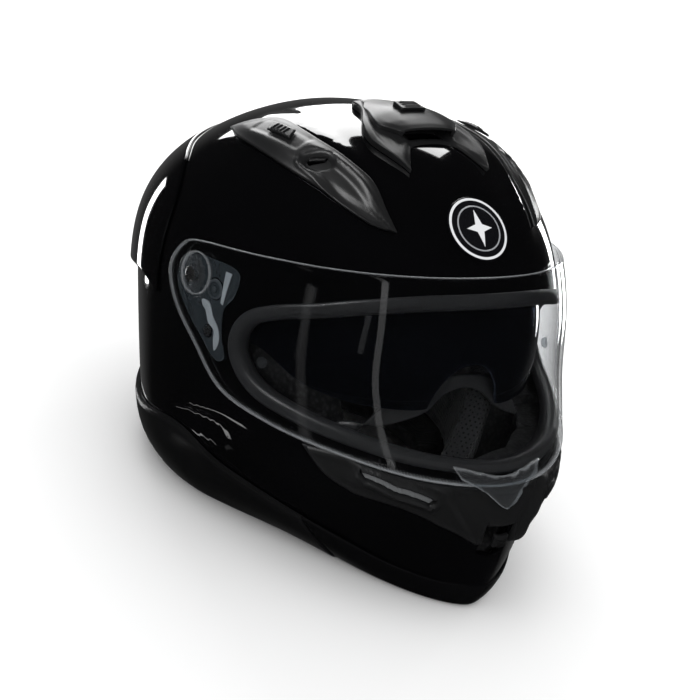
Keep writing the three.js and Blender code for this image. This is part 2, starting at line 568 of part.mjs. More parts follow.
// ---- sun visor ----------------------------------------------------------------------------------------
const SUN_OUTLINE = [[-160, 46], [-100, 50], [-60, 26], [SUN.y - 4, SUN.z + 11], [SUN.y + 8, SUN.z + 8],
  [SUN.y + 11, SUN.z], [SUN.y + 8, SUN.z - 8], [SUN.y - 4, SUN.z - 12], [-60, -14], [-90, -34], [-120, -44],
  [-160, -46]];
function sunVisor() {
  const lens = sunForm(0).subtract(sunForm(-SUN.t)).intersect(sidePrism(SUN_OUTLINE));
  const arch = new THREE.CylinderGeometry(30, 30, 120, 20);
  arch.scale(0.9, 1, 1.2);
  arch.translate(0, -140, -52);
  return lens.subtract(solid(arch)).subtract(rod(SUN, 3.6, -200, 200, 14));
}
add("sun_visor", sunVisor(), SMOKE);
addPair("sun_visor_bracket", spindle(SUN, [[SUN.halfWidth - 5.5, 3], [SUN.halfWidth + 0.8, 3],
  [SUN.halfWidth + 0.8, 9], [SUN.halfWidth + 3, 9]], 16), STEEL);
add("sun_visor_cable", cable(1.6, 8), RUBBER);
const leverShape = block(-11, 11, -4.5, 4.5, 0, 4).add(block(-2, 2, -4, 4, 3, 6));
add("sun_visor_lever", onShell(leverShape, leverPlace.lam, leverPlace.alpha, 4.6), MATT);

// ---- chin strap ---------------------------------------------------------------------------------------
// Each strap hangs from its rivet in the plane y = STRAP.y. Its midline is drawn in front view, as [x, z].
function strapBand(midline) {
  const half = STRAP.t / 2;
  const outline = [...grown(midline, half), ...grown(midline, -half).reverse()];
  const shape = new THREE.Shape(outline.map(([x, z]) => new THREE.Vector2(x, z)));
  const g = new THREE.ExtrudeGeometry(shape, { depth: STRAP.width, bevelEnabled: false });
  g.rotateX(Math.PI / 2);
  g.translate(0, STRAP.y + STRAP.width / 2, 0);
  return solid(g);
}
const strapLow = rimZ(STRAP.y, 18);
const strapEnd = rimZ(STRAP.y, 36);
const strapWall = sideX(STRAP.y - STRAP.width / 2, strapEnd) - SHELL_T - 9.6;
const rivetAt = { y: STRAP.y, z: strapEnd };
const strapHalf = [[strapWall, strapEnd + 6], [strapWall, strapEnd - 6], [strapWall - 5, strapEnd - 14],
  [strapWall - 22, strapLow + 2], [44, strapLow + 1]];
const strap = (end) => strapBand([...strapHalf, [end, strapLow]]).subtract(rod(rivetAt, 2.8, 60, 130, 12));
add("strap_left", strap(D_RING.hinge + 2.4), WEB);
add("strap_right", mirror(strap(D_RING.length - D_RING.hinge + 2.4)), WEB);
addPair("strap_rivet", spindle(rivetAt, [[strapWall - 3, 4.4], [strapWall - 1.5, 4.8], [strapWall - 1.5, 2.4],
  [strapWall + 2.4, 2.4]], 12), STEEL);

// Two D-rings, one above the other, each hinged on its straight side.
function dRing(height) {
  const { hinge, length, width, wire } = D_RING;
  const ring = new THREE.Shape();
  ring.moveTo(hinge, -width / 2);
  ring.lineTo(hinge, width / 2);
  ring.lineTo(hinge - length + width / 2, width / 2);
  ring.absarc(hinge - length + width / 2, 0, width / 2, Math.PI / 2, 1.5 * Math.PI);
  const hole = new THREE.Path();
  hole.moveTo(hinge - wire, wire - width / 2);
  hole.lineTo(hinge - length + width / 2, wire - width / 2);
  hole.absarc(hinge - length + width / 2, 0, width / 2 - wire, 1.5 * Math.PI, Math.PI / 2, true);
  hole.lineTo(hinge - wire, width / 2 - wire);
  ring.holes.push(hole);
  const g = new THREE.ExtrudeGeometry(ring, { depth: wire, bevelEnabled: false, curveSegments: 8 });
  g.translate(0, STRAP.y, strapLow + height);
  return solid(g);
}
add("d_ring_upper", dRing(STRAP.t / 2 + GAP), STEEL);
add("d_ring_lower", dRing(-STRAP.t / 2 - GAP - D_RING.wire), STEEL);

// ---- stance -------------------------------------------------------------------------------------------
helmet.rotation.x = -RIM.tilt * RAD;
const tipAxis = new THREE.Vector3(1, 0, 0);
const rimPoint = new THREE.Vector3(0, RIM.y, RIM.z).applyAxisAngle(tipAxis, -RIM.tilt * RAD);
helmet.position.set(0, -CENTRE_Y, -rimPoint.z);

export default helmet;
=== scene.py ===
import json
import math

import bpy
import bmesh
import numpy as np
from mathutils import Matrix, Vector
from mathutils.geometry import delaunay_2d_cdt
from mathutils.kdtree import KDTree

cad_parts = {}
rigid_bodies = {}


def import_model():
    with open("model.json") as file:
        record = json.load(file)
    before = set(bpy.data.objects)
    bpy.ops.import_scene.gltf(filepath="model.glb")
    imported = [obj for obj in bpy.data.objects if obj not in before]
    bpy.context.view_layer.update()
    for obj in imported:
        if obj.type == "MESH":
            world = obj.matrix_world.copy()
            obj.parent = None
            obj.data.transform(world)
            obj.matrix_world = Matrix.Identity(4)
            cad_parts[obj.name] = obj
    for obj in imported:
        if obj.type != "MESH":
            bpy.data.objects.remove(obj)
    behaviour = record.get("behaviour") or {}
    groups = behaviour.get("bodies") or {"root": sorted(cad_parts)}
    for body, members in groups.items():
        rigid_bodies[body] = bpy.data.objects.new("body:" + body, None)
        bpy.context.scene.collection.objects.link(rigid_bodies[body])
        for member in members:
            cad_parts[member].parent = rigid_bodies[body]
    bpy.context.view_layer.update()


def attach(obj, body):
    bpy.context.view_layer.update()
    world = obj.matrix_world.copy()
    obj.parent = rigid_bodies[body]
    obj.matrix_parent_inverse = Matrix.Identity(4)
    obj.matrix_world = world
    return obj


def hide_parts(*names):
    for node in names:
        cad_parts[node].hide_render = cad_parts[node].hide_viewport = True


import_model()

# Shapes are worked out in the head frame, in millimetres: origin between the ears, -Y out of the face, +X to
# the wearer's left, +Z out of the crown. to_row() tips them onto the lower rim and gives metres in the row
# frame. A chart point (u, v) is alpha * (sin lam, -cos lam), with alpha in degrees from the crown and lam the
# turn from the face to the wearer's left.
TILT = math.radians(16.5)
CENTRE = np.array([0.0, 17.68, 115.178])
TURN = np.array([[1, 0, 0], [0, math.cos(TILT), math.sin(TILT)], [0, -math.sin(TILT), math.cos(TILT)]])
# The shell's distance from the origin by alpha, toward the face, the back and the side.
FACE = [(0, 130), (20, 133), (45, 143.5), (64, 152.5), (78, 157.5), (92, 160.5), (105, 168), (113, 187),
        (118, 203), (126, 212), (134, 222.5), (150, 207.5)]
BACK = [(0, 130), (20, 134), (45, 147), (68, 163), (90, 157), (110, 152), (125, 149), (140, 153), (160, 157)]
SIDE = [(0, 130), (20, 131), (45, 136), (70, 131), (90, 125), (110, 134), (125, 150.5), (140, 155.5),
        (160, 164.5)]
LAST_ALPHA = 158.0
# From CHIN_FROM to CHIN_TO the level sections turn from ellipses to a pointed chin.
CHIN_FROM, CHIN_TO, CHIN_POWER = 104.0, 131.0, 1.6
PIVOT = (-20.0, 25.0)
SUN_AT = (-15.0, -5.0)
GAP = 0.4  # under the pieces that lie on the shell
SHELL_THICK, RIM_HEIGHT = 4.4, 4.0
FAR_OUT = 260.0  # beyond every point of the shell


def to_row(p):
    return (np.asarray(p, float) @ TURN.T + CENTRE) / 1000


def turn_row(n):
    return np.asarray(n, float) @ TURN.T


# ---- splines and the shell's surface --------------------------------------------------------------------
def spline(knots):
    """Cubic through the knots, level at the first and with no curvature at the last."""
    x, y = np.array(knots, float).T
    n = len(x)
    h = np.diff(x)
    a = np.zeros((n, n))
    b = np.zeros(n)
    a[0, 0], a[0, 1], b[0] = 2 * h[0], h[0], 6 * (y[1] - y[0]) / h[0]
    for i in range(1, n - 1):
        a[i, i - 1:i + 2] = h[i - 1], 2 * (h[i - 1] + h[i]), h[i]
        b[i] = 6 * ((y[i + 1] - y[i]) / h[i] - (y[i] - y[i - 1]) / h[i - 1])
    a[-1, -1] = 1
    m = np.linalg.solve(a, b)

    def at(v):
        v = np.asarray(v, float)
        i = np.clip(np.searchsorted(x, v, side="right") - 1, 0, n - 2)
        p = (x[i + 1] - v) / h[i]
        q = 1 - p
        return p * y[i] + q * y[i + 1] + ((p ** 3 - p) * m[i] + (q ** 3 - q) * m[i + 1]) * h[i] ** 2 / 6
    return at


face, back, side = spline(FACE), spline(BACK), spline(SIDE)


def radius(lam, alpha):
    """lam in radians, alpha in degrees."""
    a = np.minimum(alpha, LAST_ALPHA)
    c, s = np.cos(lam), np.sin(lam)
    t = np.clip((alpha - CHIN_FROM) / (CHIN_TO - CHIN_FROM), 0, 1)
    power = 2 + (CHIN_POWER - 2) * np.where(c > 0, t * t * (3 - 2 * t), 0)
    lengthways = np.abs(c / np.where(c > 0, face(a), back(a))) ** power
    return (lengthways + np.abs(s / side(a)) ** power) ** (-1 / power)


def angles(uv):
    return np.arctan2(uv[:, 0], -uv[:, 1]), np.hypot(uv[:, 0], uv[:, 1])


def shell_point(uv, off=0.0):
    lam, alpha = angles(uv)
    r = radius(lam, alpha) + off
    a = np.radians(alpha)
    return np.stack([r * np.sin(a) * np.sin(lam), -r * np.sin(a) * np.cos(lam), r * np.cos(a)], -1)


def uv_of_direction(p):
    alpha = np.degrees(np.arccos(np.clip(p[:, 2] / np.linalg.norm(p, axis=1), -1, 1)))
    lam = np.arctan2(p[:, 0], -p[:, 1])
    return np.stack([alpha * np.sin(lam), -alpha * np.cos(lam)], -1)


def polar(lams, alphas):
    lams = np.radians(np.asarray(lams, float))
    return np.stack([alphas * np.sin(lams), -alphas * np.cos(lams)], -1)


def ray_uv(points):
    """Chart points from (lam, alpha) pairs, both in degrees."""
    lams, alphas = np.array(points, float).T
    return polar(lams, alphas)


def inside_shell(p):
    r = np.linalg.norm(p, axis=1)
    alpha = np.degrees(np.arccos(np.clip(p[:, 2] / r, -1, 1)))
    return r < radius(np.arctan2(p[:, 0], -p[:, 1]), alpha)


def outward(start, direction):
    """For each start point, the place along direction where it leaves the shell."""
    low = np.zeros(len(start))
    high = np.full(len(start), FAR_OUT)
    for _ in range(44):
        mid = (low + high) / 2
        within = inside_shell(start + mid[:, None] * direction)
        low, high = np.where(within, mid, low), np.where(within, high, mid)
    return start + low[:, None] * direction


def side_points(yz):
    yz = np.asarray(yz, float).reshape(-1, 2)
    start = np.c_[np.zeros(len(yz)), yz]
    return outward(start, np.array([1.0, 0, 0]))


def plan_points(xy):
    xy = np.asarray(xy, float).reshape(-1, 2)
    return outward(np.c_[xy, np.full(len(xy), 20.0)], np.array([0, 0, 1.0]))


def side_uv(yz):
    return uv_of_direction(side_points(yz))


def plan_uv(xy):
    return uv_of_direction(plan_points(xy))


# ---- outlines -------------------------------------------------------------------------------------------
def rounded(points, corners=(), closed=True, per=14):
    """Points along a Catmull-Rom curve through the given ones, which stays sharp at the corners' indices."""
    p = np.array(points, float)
    n = len(p)
    made = []
    for i in range(n if closed else n - 1):
        a, b = p[i], p[(i + 1) % n]
        before = p[i - 1] if (closed or i) and i not in corners else 2 * a - b
        after = p[(i + 2) % n] if (closed or i < n - 2) and (i + 1) % n not in corners else 2 * b - a
        d0, d1, d2 = [max(np.linalg.norm(q), 1e-6) ** 0.5 for q in (a - before, b - a, after - b)]
        m1 = ((a - before) / d0 - (b - before) / (d0 + d1) + (b - a) / d1) * d1
        m2 = ((b - a) / d1 - (after - a) / (d1 + d2) + (after - b) / d2) * d1
        t = np.arange(per)[:, None] / per
        made.append((2 * t ** 3 - 3 * t ** 2 + 1) * a + (t ** 3 - 2 * t ** 2 + t) * m1
                    + (3 * t ** 2 - 2 * t ** 3) * b + (t ** 3 - t ** 2) * m2)
    out = np.concatenate(made)
    return out if closed else np.vstack([out, p[-1]])


def loop_over_face(yz):
    """Closed chart outline of a side-view curve whose two ends run out past the face: both sides joined."""
    p = np.asarray(yz, float)
    fine = np.concatenate([np.linspace(a, b, max(2, int(np.linalg.norm(b - a) / 0.3)), endpoint=False)
                           for a, b in zip(p[:-1], p[1:])] + [p[-1:]])
    within = inside_shell(np.c_[np.full(len(fine), 1e-6), fine])
    keep = np.where(within)[0]
    first, last = keep[0], keep[-1]

    def edge(i_in, i_out):
        a, b = fine[i_in], fine[i_out]
        for _ in range(40):
            m = (a + b) / 2
            a, b = (m, b) if inside_shell(np.array([[1e-6, *m]]))[0] else (a, m)
        return a
    run = fine[first:last + 1]
    if first > 0:
        run = np.vstack([edge(first, first - 1), run])
    if last < len(fine) - 1:
        run = np.vstack([run, edge(last, last + 1)])
    uv = side_uv(run)
    uv[0, 0] = uv[-1, 0] = 0.0
    return np.vstack([uv, (uv * [-1, 1])[::-1][1:-1]])


def resampled(surface, uv, spacing, closed=True):
    """The same outline with points a fixed distance apart, in mm on the surface; sharp corners are kept."""
    ring = np.vstack([uv, uv[:1]]) if closed else uv
    p = surface(ring, 0.0)
    length = np.linalg.norm(np.diff(p, axis=0), axis=1)
    way = np.r_[0, np.cumsum(length)]
    d = np.diff(p, axis=0) / np.maximum(length, 1e-9)[:, None]
    if closed:
        bend = np.einsum("ij,ij->i", d, np.roll(d, 1, axis=0))
    else:
        bend = np.r_[1.0, np.einsum("ij,ij->i", d[1:], d[:-1])]
    sharp = [i for i in np.where(bend < 0.8)[0] if length[i] > 1e-6]
    marks = sorted(set([0.0] + [way[i] for i in sharp] + [way[-1]]))
    places = []
    for a, b in zip(marks[:-1], marks[1:]):
        n = max(1, int(round((b - a) / spacing)))
        places.extend(a + (b - a) * np.arange(n) / n)
    if not closed:
        places.append(way[-1])
    return np.stack([np.interp(places, way, ring[:, k]) for k in (0, 1)], -1)


def area(uv):
    x, y = uv.T
    return 0.5 * np.sum(x * np.roll(y, -1) - y * np.roll(x, -1))


def within_loop(points, loop):
    x, y = points[:, 0], points[:, 1]
    found = np.zeros(len(points), bool)
    a, b = loop, np.roll(loop, -1, axis=0)
    for (x0, y0), (x1, y1) in zip(a, b):
        if y0 == y1:
            continue
        crosses = (y0 > y) != (y1 > y)
        found ^= crosses & (x < (x1 - x0) * (y - y0) / (y1 - y0) + x0)
    return found


def in_region(points, loops):
    """Which points are inside the first loop and outside the others."""
    keep = within_loop(points, loops[0])
    for hole in loops[1:]:
        keep &= ~within_loop(points, hole)
    return keep


def ellipse(rx, ry, n):
    t = np.arange(n) * 2 * np.pi / n
    return np.stack([rx * np.cos(t), ry * np.sin(t)], -1)


def circle(at, r, n):
    return np.asarray(at) + ellipse(r, r, n)


def box(w, h):
    """A rectangle's outline with straight sides, from its half width and half height."""
    return rounded([(-w, -h), (w, -h), (w, h), (-w, h)], corners=(0, 1, 2, 3))


def folded(points):
    """The points with the wearer's right half laid over the left."""
    p = np.array(points, float)
    p[:, 0] = np.abs(p[:, 0])
    return p


def mirrored(points):
    return np.asarray(points, float) * [-1, 1]


def nearest_distance(points, line):
    tree = KDTree(len(line))
    for i, q in enumerate(line):
        tree.insert(q, i)
    tree.balance()
    return np.array([tree.find(q)[2] for q in points])


# ---- mesh making ----------------------------------------------------------------------------------------
def as_function(value):
    return value if callable(value) else (lambda uv: np.full(len(uv), float(value)))


def slopes(surface, uv, off):
    e = 0.05
    du, dv = np.array([e, 0]), np.array([0, e])
    return ((surface(uv + du, off(uv + du)) - surface(uv - du, off(uv - du))) / (2 * e),
            (surface(uv + dv, off(uv + dv)) - surface(uv - dv, off(uv - dv))) / (2 * e))


def surface_normals(surface, uv, off):
    pu, pv = slopes(surface, uv, off)
    n = np.cross(pu, pv)
    return n / np.linalg.norm(n, axis=1)[:, None]


def moved_in(surface, uv, distance):
    """Outline points moved sideways by a distance in mm, to the left of the way round."""
    flat = as_function(0)
    pu, pv = slopes(surface, uv, flat)
    p = surface(uv, 0.0)
    along = np.roll(p, -1, axis=0) - np.roll(p, 1, axis=0)
    n = np.cross(pu, pv)
    left = np.cross(n, along)
    left /= np.maximum(np.linalg.norm(left, axis=1), 1e-9)[:, None]
    uu, uvv, vv = [np.einsum("ij,ij->i", a, b) for a, b in ((pu, pu), (pu, pv), (pv, pv))]
    bu, bv = np.einsum("ij,ij->i", pu, left), np.einsum("ij,ij->i", pv, left)
    det = uu * vv - uvv ** 2
    return uv + np.stack([(vv * bu - uvv * bv) / det, (uu * bv - uvv * bu) / det], -1) * distance


class Shape:
    """Vertices in mm in the head frame, with known normals and brim values, and faces with material slots."""

    def __init__(self):
        self.verts, self.normals, self.edge, self.faces, self.slots = [], [], [], [], []
        self.count = 0

    def add(self, verts, faces, normals=None, edge=None, slot=0):
        verts = np.asarray(verts, float)
        self.verts.append(verts)
        self.normals.append(np.zeros((len(verts), 3)) if normals is None else normals)
        self.edge.append(np.zeros(len(verts)) if edge is None else edge)
        self.faces.extend([tuple(int(i) + self.count for i in f) for f in faces])
        self.slots.extend([slot] * len(faces))
        self.count += len(verts)
        return self

    def mirror(self):
        made = Shape()
        made.verts = [v * [-1, 1, 1] for v in self.verts]
        made.normals = [n * [-1, 1, 1] for n in self.normals]
        made.edge = list(self.edge)
        made.faces = [f[::-1] for f in self.faces]
        made.slots = list(self.slots)
        made.count = self.count
        return made

    def merged(self, other):
        self.verts += other.verts
        self.normals += other.normals
        self.edge += other.edge
        self.faces += [tuple(i + self.count for i in f) for f in other.faces]
        self.slots += other.slots
        self.count += other.count
        return self


def plate(outline, top, bottom, holes=(), surface=shell_point, step=2.0, edge=0.6, spacing=2.0, shape=None,
          slot=0, profile=None, hole_spacing=None, rounds=3):
    """A closed plate that follows the surface between two offsets, with a rounded upper edge."""
    top, bottom = as_function(top), as_function(bottom)
    loops = []
    for k, loop in enumerate([outline, *holes]):
        gap = spacing if k == 0 or not hole_spacing else hole_spacing
        loop = resampled(surface, np.asarray(loop, float), gap)
        if (area(loop) > 0) != (k == 0):
            loop = loop[::-1]
        loops.append(loop)
    border = np.vstack(loops)
    thick = float(np.median(top(border) - bottom(border)))
    edge = min(edge, thick * 0.9)
    turns = [math.radians(90 * (k + 1) / rounds) for k in range(rounds)]
    rings = [(edge * (1 - math.cos(t)), edge * math.sin(t)) for t in turns]
    rings.append((edge * 1.5 + 0.15, edge))
    if profile:
        rings += [(d, edge) for d in profile[0] if d > edge * 1.6]
    wall = surface(border, 0.0)
    dense = np.vstack([np.linspace(a, b, 3)[:-1] for a, b in zip(wall, np.roll(wall, -1, axis=0))
                       if np.linalg.norm(b - a) < spacing * 3])
    points, depth, lift = [border], [np.zeros(len(border))], [np.zeros(len(border))]
    for d, h in rings:
        for loop in loops:
            made = moved_in(surface, loop, d)
            far = nearest_distance(surface(made, 0.0), dense)
            made = made[(far > d * 0.93) & in_region(made, loops)]
            points.append(made)
            depth.append(np.full(len(made), d))
            lift.append(np.full(len(made), h))
    low, high = border.min(0), border.max(0)
    nu = int(max(abs(low[0]), abs(high[0])) / step) + 1
    us = np.arange(-nu, nu + 1) * step
    vs = np.arange(math.floor(low[1] / step), math.ceil(high[1] / step) + 1) * step
    grid = np.stack(np.meshgrid(us, vs), -1).reshape(-1, 2)
    grid = grid[in_region(grid, loops)]
    if len(grid):
        deepest = rings[-1][0]
        far = nearest_distance(surface(grid, 0.0), dense)
        keep = far > deepest + max(0.5, 0.35 * step * 2)
        grid, far = grid[keep], far[keep]
        points.append(grid)
        depth.append(far)
        lift.append(np.full(len(grid), edge))
    uv, depth, lift = np.vstack(points), np.concatenate(depth), np.concatenate(lift)
    edges, start = [], 0
    for loop in loops:
        n = len(loop)
        edges += [(start + i, start + (i + 1) % n) for i in range(n)]
        start += n
    out, _, tris, origin, _, _ = delaunay_2d_cdt([Vector(q) for q in uv], edges, [], 0, 1e-7)
    pick = np.array([o[0] if len(o) else -1 for o in origin])
    got = np.array([list(q) for q in out])
    depth = np.where(pick >= 0, depth[pick], 0.0)
    lift = np.where(pick >= 0, lift[pick], 0.0)
    tris = np.array([t for t in tris if len(t) == 3])
    tris = tris[in_region(got[tris].mean(1), loops)]
    a, b, c = got[tris[:, 0]], got[tris[:, 1]], got[tris[:, 2]]
    size = (b[:, 0] - a[:, 0]) * (c[:, 1] - a[:, 1]) - (b[:, 1] - a[:, 1]) * (c[:, 0] - a[:, 0])
    tris = np.where((size < 0)[:, None], tris[:, ::-1], tris)[np.abs(size) > 1e-9]
    used = np.unique(tris)
    renumber = np.full(len(got), -1)
    renumber[used] = np.arange(len(used))
    tris, got, depth, lift = renumber[tris], got[used], depth[used], lift[used]
    extra = profile[1](depth, got) if profile else 0.0
    upper = surface(got, top(got) - edge + lift + extra)
    normals = np.zeros((len(got), 3))
    if not profile:
        calm = depth >= edge * 1.4
        normals[calm] = surface_normals(surface, got[calm], top)
    lower = surface(got, bottom(got))
    n = len(got)
    sides = {}
    for t in tris:
        for i in range(3):
            p, q = int(t[i]), int(t[(i + 1) % 3])
            if (q, p) in sides:
                del sides[(q, p)]
            else:
                sides[(p, q)] = True
    faces = [tuple(t) for t in tris] + [(t[0] + n, t[2] + n, t[1] + n) for t in tris]
    faces += [(p, p + n, q + n, q) for p, q in sides]
    brim = np.clip(1 - depth / max(edge * 1.2, 0.3), 0, 1)
    shape = shape or Shape()
    shape.add(np.vstack([upper, lower]), faces, np.vstack([normals, np.zeros((n, 3))]), np.r_[brim, brim],
              slot)
    return shape


def sweep(path, across, up, section, closed=True, shape=None, slot=0):
    """A closed section carried along a path: across and up give its plane at each point."""
    path, across, up = np.asarray(path, float), np.asarray(across, float), np.asarray(up, float)
    section = np.asarray(section, float)
    n, m = len(path), len(section)
    verts = (path[:, None] + across[:, None] * section[None, :, 0, None]
             + up[:, None] * section[None, :, 1, None]).reshape(-1, 3)
    faces = []
    for i in range(n if closed else n - 1):
        j = (i + 1) % n
        for k in range(m):
            l = (k + 1) % m
            faces.append((i * m + k, j * m + k, j * m + l, i * m + l))
    if not closed:
        faces.append(tuple(range(m)))
        faces.append(tuple((n - 1) * m + k for k in reversed(range(m))))
    shape = shape or Shape()
    shape.add(verts, faces, slot=slot)
    return shape


def frames_along(path, normal, closed=True):
    path = np.asarray(path, float)
    if closed:
        along = np.roll(path, -1, axis=0) - np.roll(path, 1, axis=0)
    else:
        along = np.gradient(path, axis=0)
    along /= np.linalg.norm(along, axis=1)[:, None]
    normal = np.broadcast_to(normal, path.shape)
    across = np.cross(normal, along)
    across /= np.linalg.norm(across, axis=1)[:, None]
    return across, np.cross(along, across)


def lathe(profile, place, axis, segments=40, teeth=None):
    """A round piece from (radius, height) steps; ends on the axis. teeth(turn) scales the radius."""
    axis = np.asarray(axis, float) / np.linalg.norm(axis)
    a = np.cross(axis, [0, 0, 1.0] if abs(axis[2]) < 0.9 else [1.0, 0, 0])
    a /= np.linalg.norm(a)
    b = np.cross(axis, a)
    t = np.arange(segments) * 2 * np.pi / segments
    verts, faces, rows = [], [], []
    for r, h in profile:
        if r < 1e-6:
            rows.append([len(verts)])
            verts.append(np.asarray(place) + axis * h)
        else:
            k = r * (np.ones(segments) if teeth is None else 1 + (teeth(t) - 1) * min(1, max(0, r / 6 - 1)))
            rows.append(list(range(len(verts), len(verts) + segments)))
            round_way = np.outer(k * np.cos(t), a) + np.outer(k * np.sin(t), b)
            verts.extend(np.asarray(place) + axis * h + round_way)
    for low, high in zip(rows[:-1], rows[1:]):
        for i in range(segments):
            j = (i + 1) % segments
            if len(low) == 1:
                faces.append((low[0], high[i], high[j]))
            elif len(high) == 1:
                faces.append((low[i], high[0], low[j]))
            else:
                faces.append((low[i], high[i], high[j], low[j]))
    return Shape().add(np.array(verts), faces)


def make(name, shape, materials, node, body="shell", sharp=38, weld=0.0, tail=""):
    """A piece from a shape: it rides on a body, replaces a CAD node, and takes its first material's slot."""
    materials = materials if isinstance(materials, list) else [materials]
    mesh = bpy.data.meshes.new(f"{name}_visual{tail}")
    mesh.from_pydata([tuple(v) for v in to_row(np.vstack(shape.verts))], [], shape.faces)
    mesh.polygons.foreach_set("material_index", shape.slots)
    brim = mesh.attributes.new("brim", "FLOAT", "POINT")
    brim.data.foreach_set("value", np.concatenate(shape.edge).astype(np.float32))
    bm = bmesh.new()
    bm.from_mesh(mesh)
    if weld:
        bmesh.ops.remove_doubles(bm, verts=bm.verts, dist=weld / 1000)
    bmesh.ops.recalc_face_normals(bm, faces=bm.faces)
    bm.to_mesh(mesh)
    bm.free()
    mesh.polygons.foreach_set("use_smooth", [True] * len(mesh.polygons))
    mesh.set_sharp_from_angle(angle=math.radians(sharp))
    normals = turn_row(np.vstack(shape.normals))
    if np.abs(normals).max() > 0 and len(mesh.vertices) == len(normals):
        mesh.normals_split_custom_set_from_vertices([tuple(v) for v in normals])
    obj = bpy.data.objects.new(mesh.name, mesh)
    bpy.context.scene.collection.objects.link(obj)
    for material in materials:
        mesh.materials.append(material)
    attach(obj, body)
    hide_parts(node)
    return obj


def make_pair(name, shape, materials, node, body="shell", **facts):
    """A shape drawn on the wearer's left, and its mirror image on the right."""
    for side_name, made in (("left", shape), ("right", shape.mirror())):
        make(name, made, materials, f"{node}_{side_name}", body=body.format(side_name), tail=f"_{side_name}",
             **facts)


def smoothstep(x, low=0.0, high=1.0):
    t = np.clip((np.asarray(x, float) - low) / (high - low), 0, 1)
    return t * t * (3 - 2 * t)


# ---- materials ------------------------------------------------------------------------------------------
class Nodes:
    """Builds the shader nodes of a material or a world."""

    def __init__(self, owner):
        self.owner = owner
        owner.use_nodes = True
        self.tree = owner.node_tree
        self.tree.nodes.clear()
        self.place = self.add("ShaderNodeTexCoord").outputs["Object"]

    def add(self, kind, values=None, **settings):
        made = self.tree.nodes.new(kind)
        for key, value in settings.items():
            setattr(made, key, value)
        for key, value in (values or {}).items():
            if isinstance(value, bpy.types.NodeSocket):
                self.tree.links.new(value, made.inputs[key])
            else:
                made.inputs[key].default_value = value
        return made

    def noise(self, scale, detail=3.0, vector=None):
        return self.add("ShaderNodeTexNoise", {"Vector": vector or self.place, "Scale": scale,
                                               "Detail": detail, "Roughness": 0.55}).outputs["Fac"]

    def cells(self, scale, randomness):
        return self.add("ShaderNodeTexVoronoi", {"Vector": self.place, "Scale": scale,
                                                 "Randomness": randomness}).outputs["Distance"]

    def ranged(self, value, a, b, c, d):
        return self.add("ShaderNodeMapRange", {"Value": value, "From Min": a, "From Max": b, "To Min": c,
                                              "To Max": d}).outputs["Result"]

    def patchy(self, scale, detail, a, b):
        """A noise's middle values spread from a to b."""
        return self.ranged(self.noise(scale, detail), 0.3, 0.7, a, b)

    def maths(self, kind, a, b=0.0):
        return self.add("ShaderNodeMath", {0: a, 1: b}, operation=kind).outputs["Value"]

    def mixed(self, fac, a, b):
        a, b = [c if isinstance(c, bpy.types.NodeSocket) else (*c, 1.0) for c in (a, b)]
        return self.add("ShaderNodeMix", {0: fac, 6: a, 7: b}, data_type="RGBA").outputs[2]

    def bump(self, height, strength, distance):
        return self.add("ShaderNodeBump", {"Height": height, "Strength": strength,
                                           "Distance": distance}).outputs["Normal"]

    def principled(self, **values):
        return self.add("ShaderNodeBsdfPrincipled", {k.replace("_", " "): v for k, v in values.items()})

    def output(self, shader, kind="ShaderNodeOutputMaterial"):
        self.add(kind, {"Surface": shader})
        return self.owner


def scaled(colour, by):
    return tuple(c * by for c in colour)


def plastic(name, dark, light, rough, grain, depth, spec=0.5, coat=0.0, coat_rough=0.03, edge_wear_and_highlight=0.0,
            edge_wear_and_highlight_colour=None):
    """Moulded plastic, paint or rubber: two tones in soft patches, grain in the surface, paler edges that are
    partly wear and partly painted highlight.
    """
    n = Nodes(bpy.data.materials.new(name))
    colour = n.mixed(n.patchy(9.0, 4.0, 0, 1), dark, light)
    # Paler convex edges in noisy patches: partly wear, partly a painted highlight along the edges.
    if edge_wear_and_highlight:
        edge = n.add("ShaderNodeNewGeometry").outputs["Pointiness"]
        edge_wear_and_highlight_mask = n.maths("MULTIPLY", n.ranged(edge, 0.52, 0.6, 0, 1),
                          n.ranged(n.noise(60.0), 0.35, 0.65, 0.3, 1))
        colour = n.mixed(n.maths("MULTIPLY", edge_wear_and_highlight_mask, edge_wear_and_highlight), colour, edge_wear_and_highlight_colour)
    values = {"Base_Color": colour, "Roughness": n.patchy(24.0, 5.0, *rough), "Specular_IOR_Level": spec,
              "Normal": n.bump(n.noise(grain, 2.0), 0.35, depth)}
    if coat:
        values.update(Coat_Weight=coat, Coat_Roughness=coat_rough)
    return n.output(n.principled(**values).outputs[0])


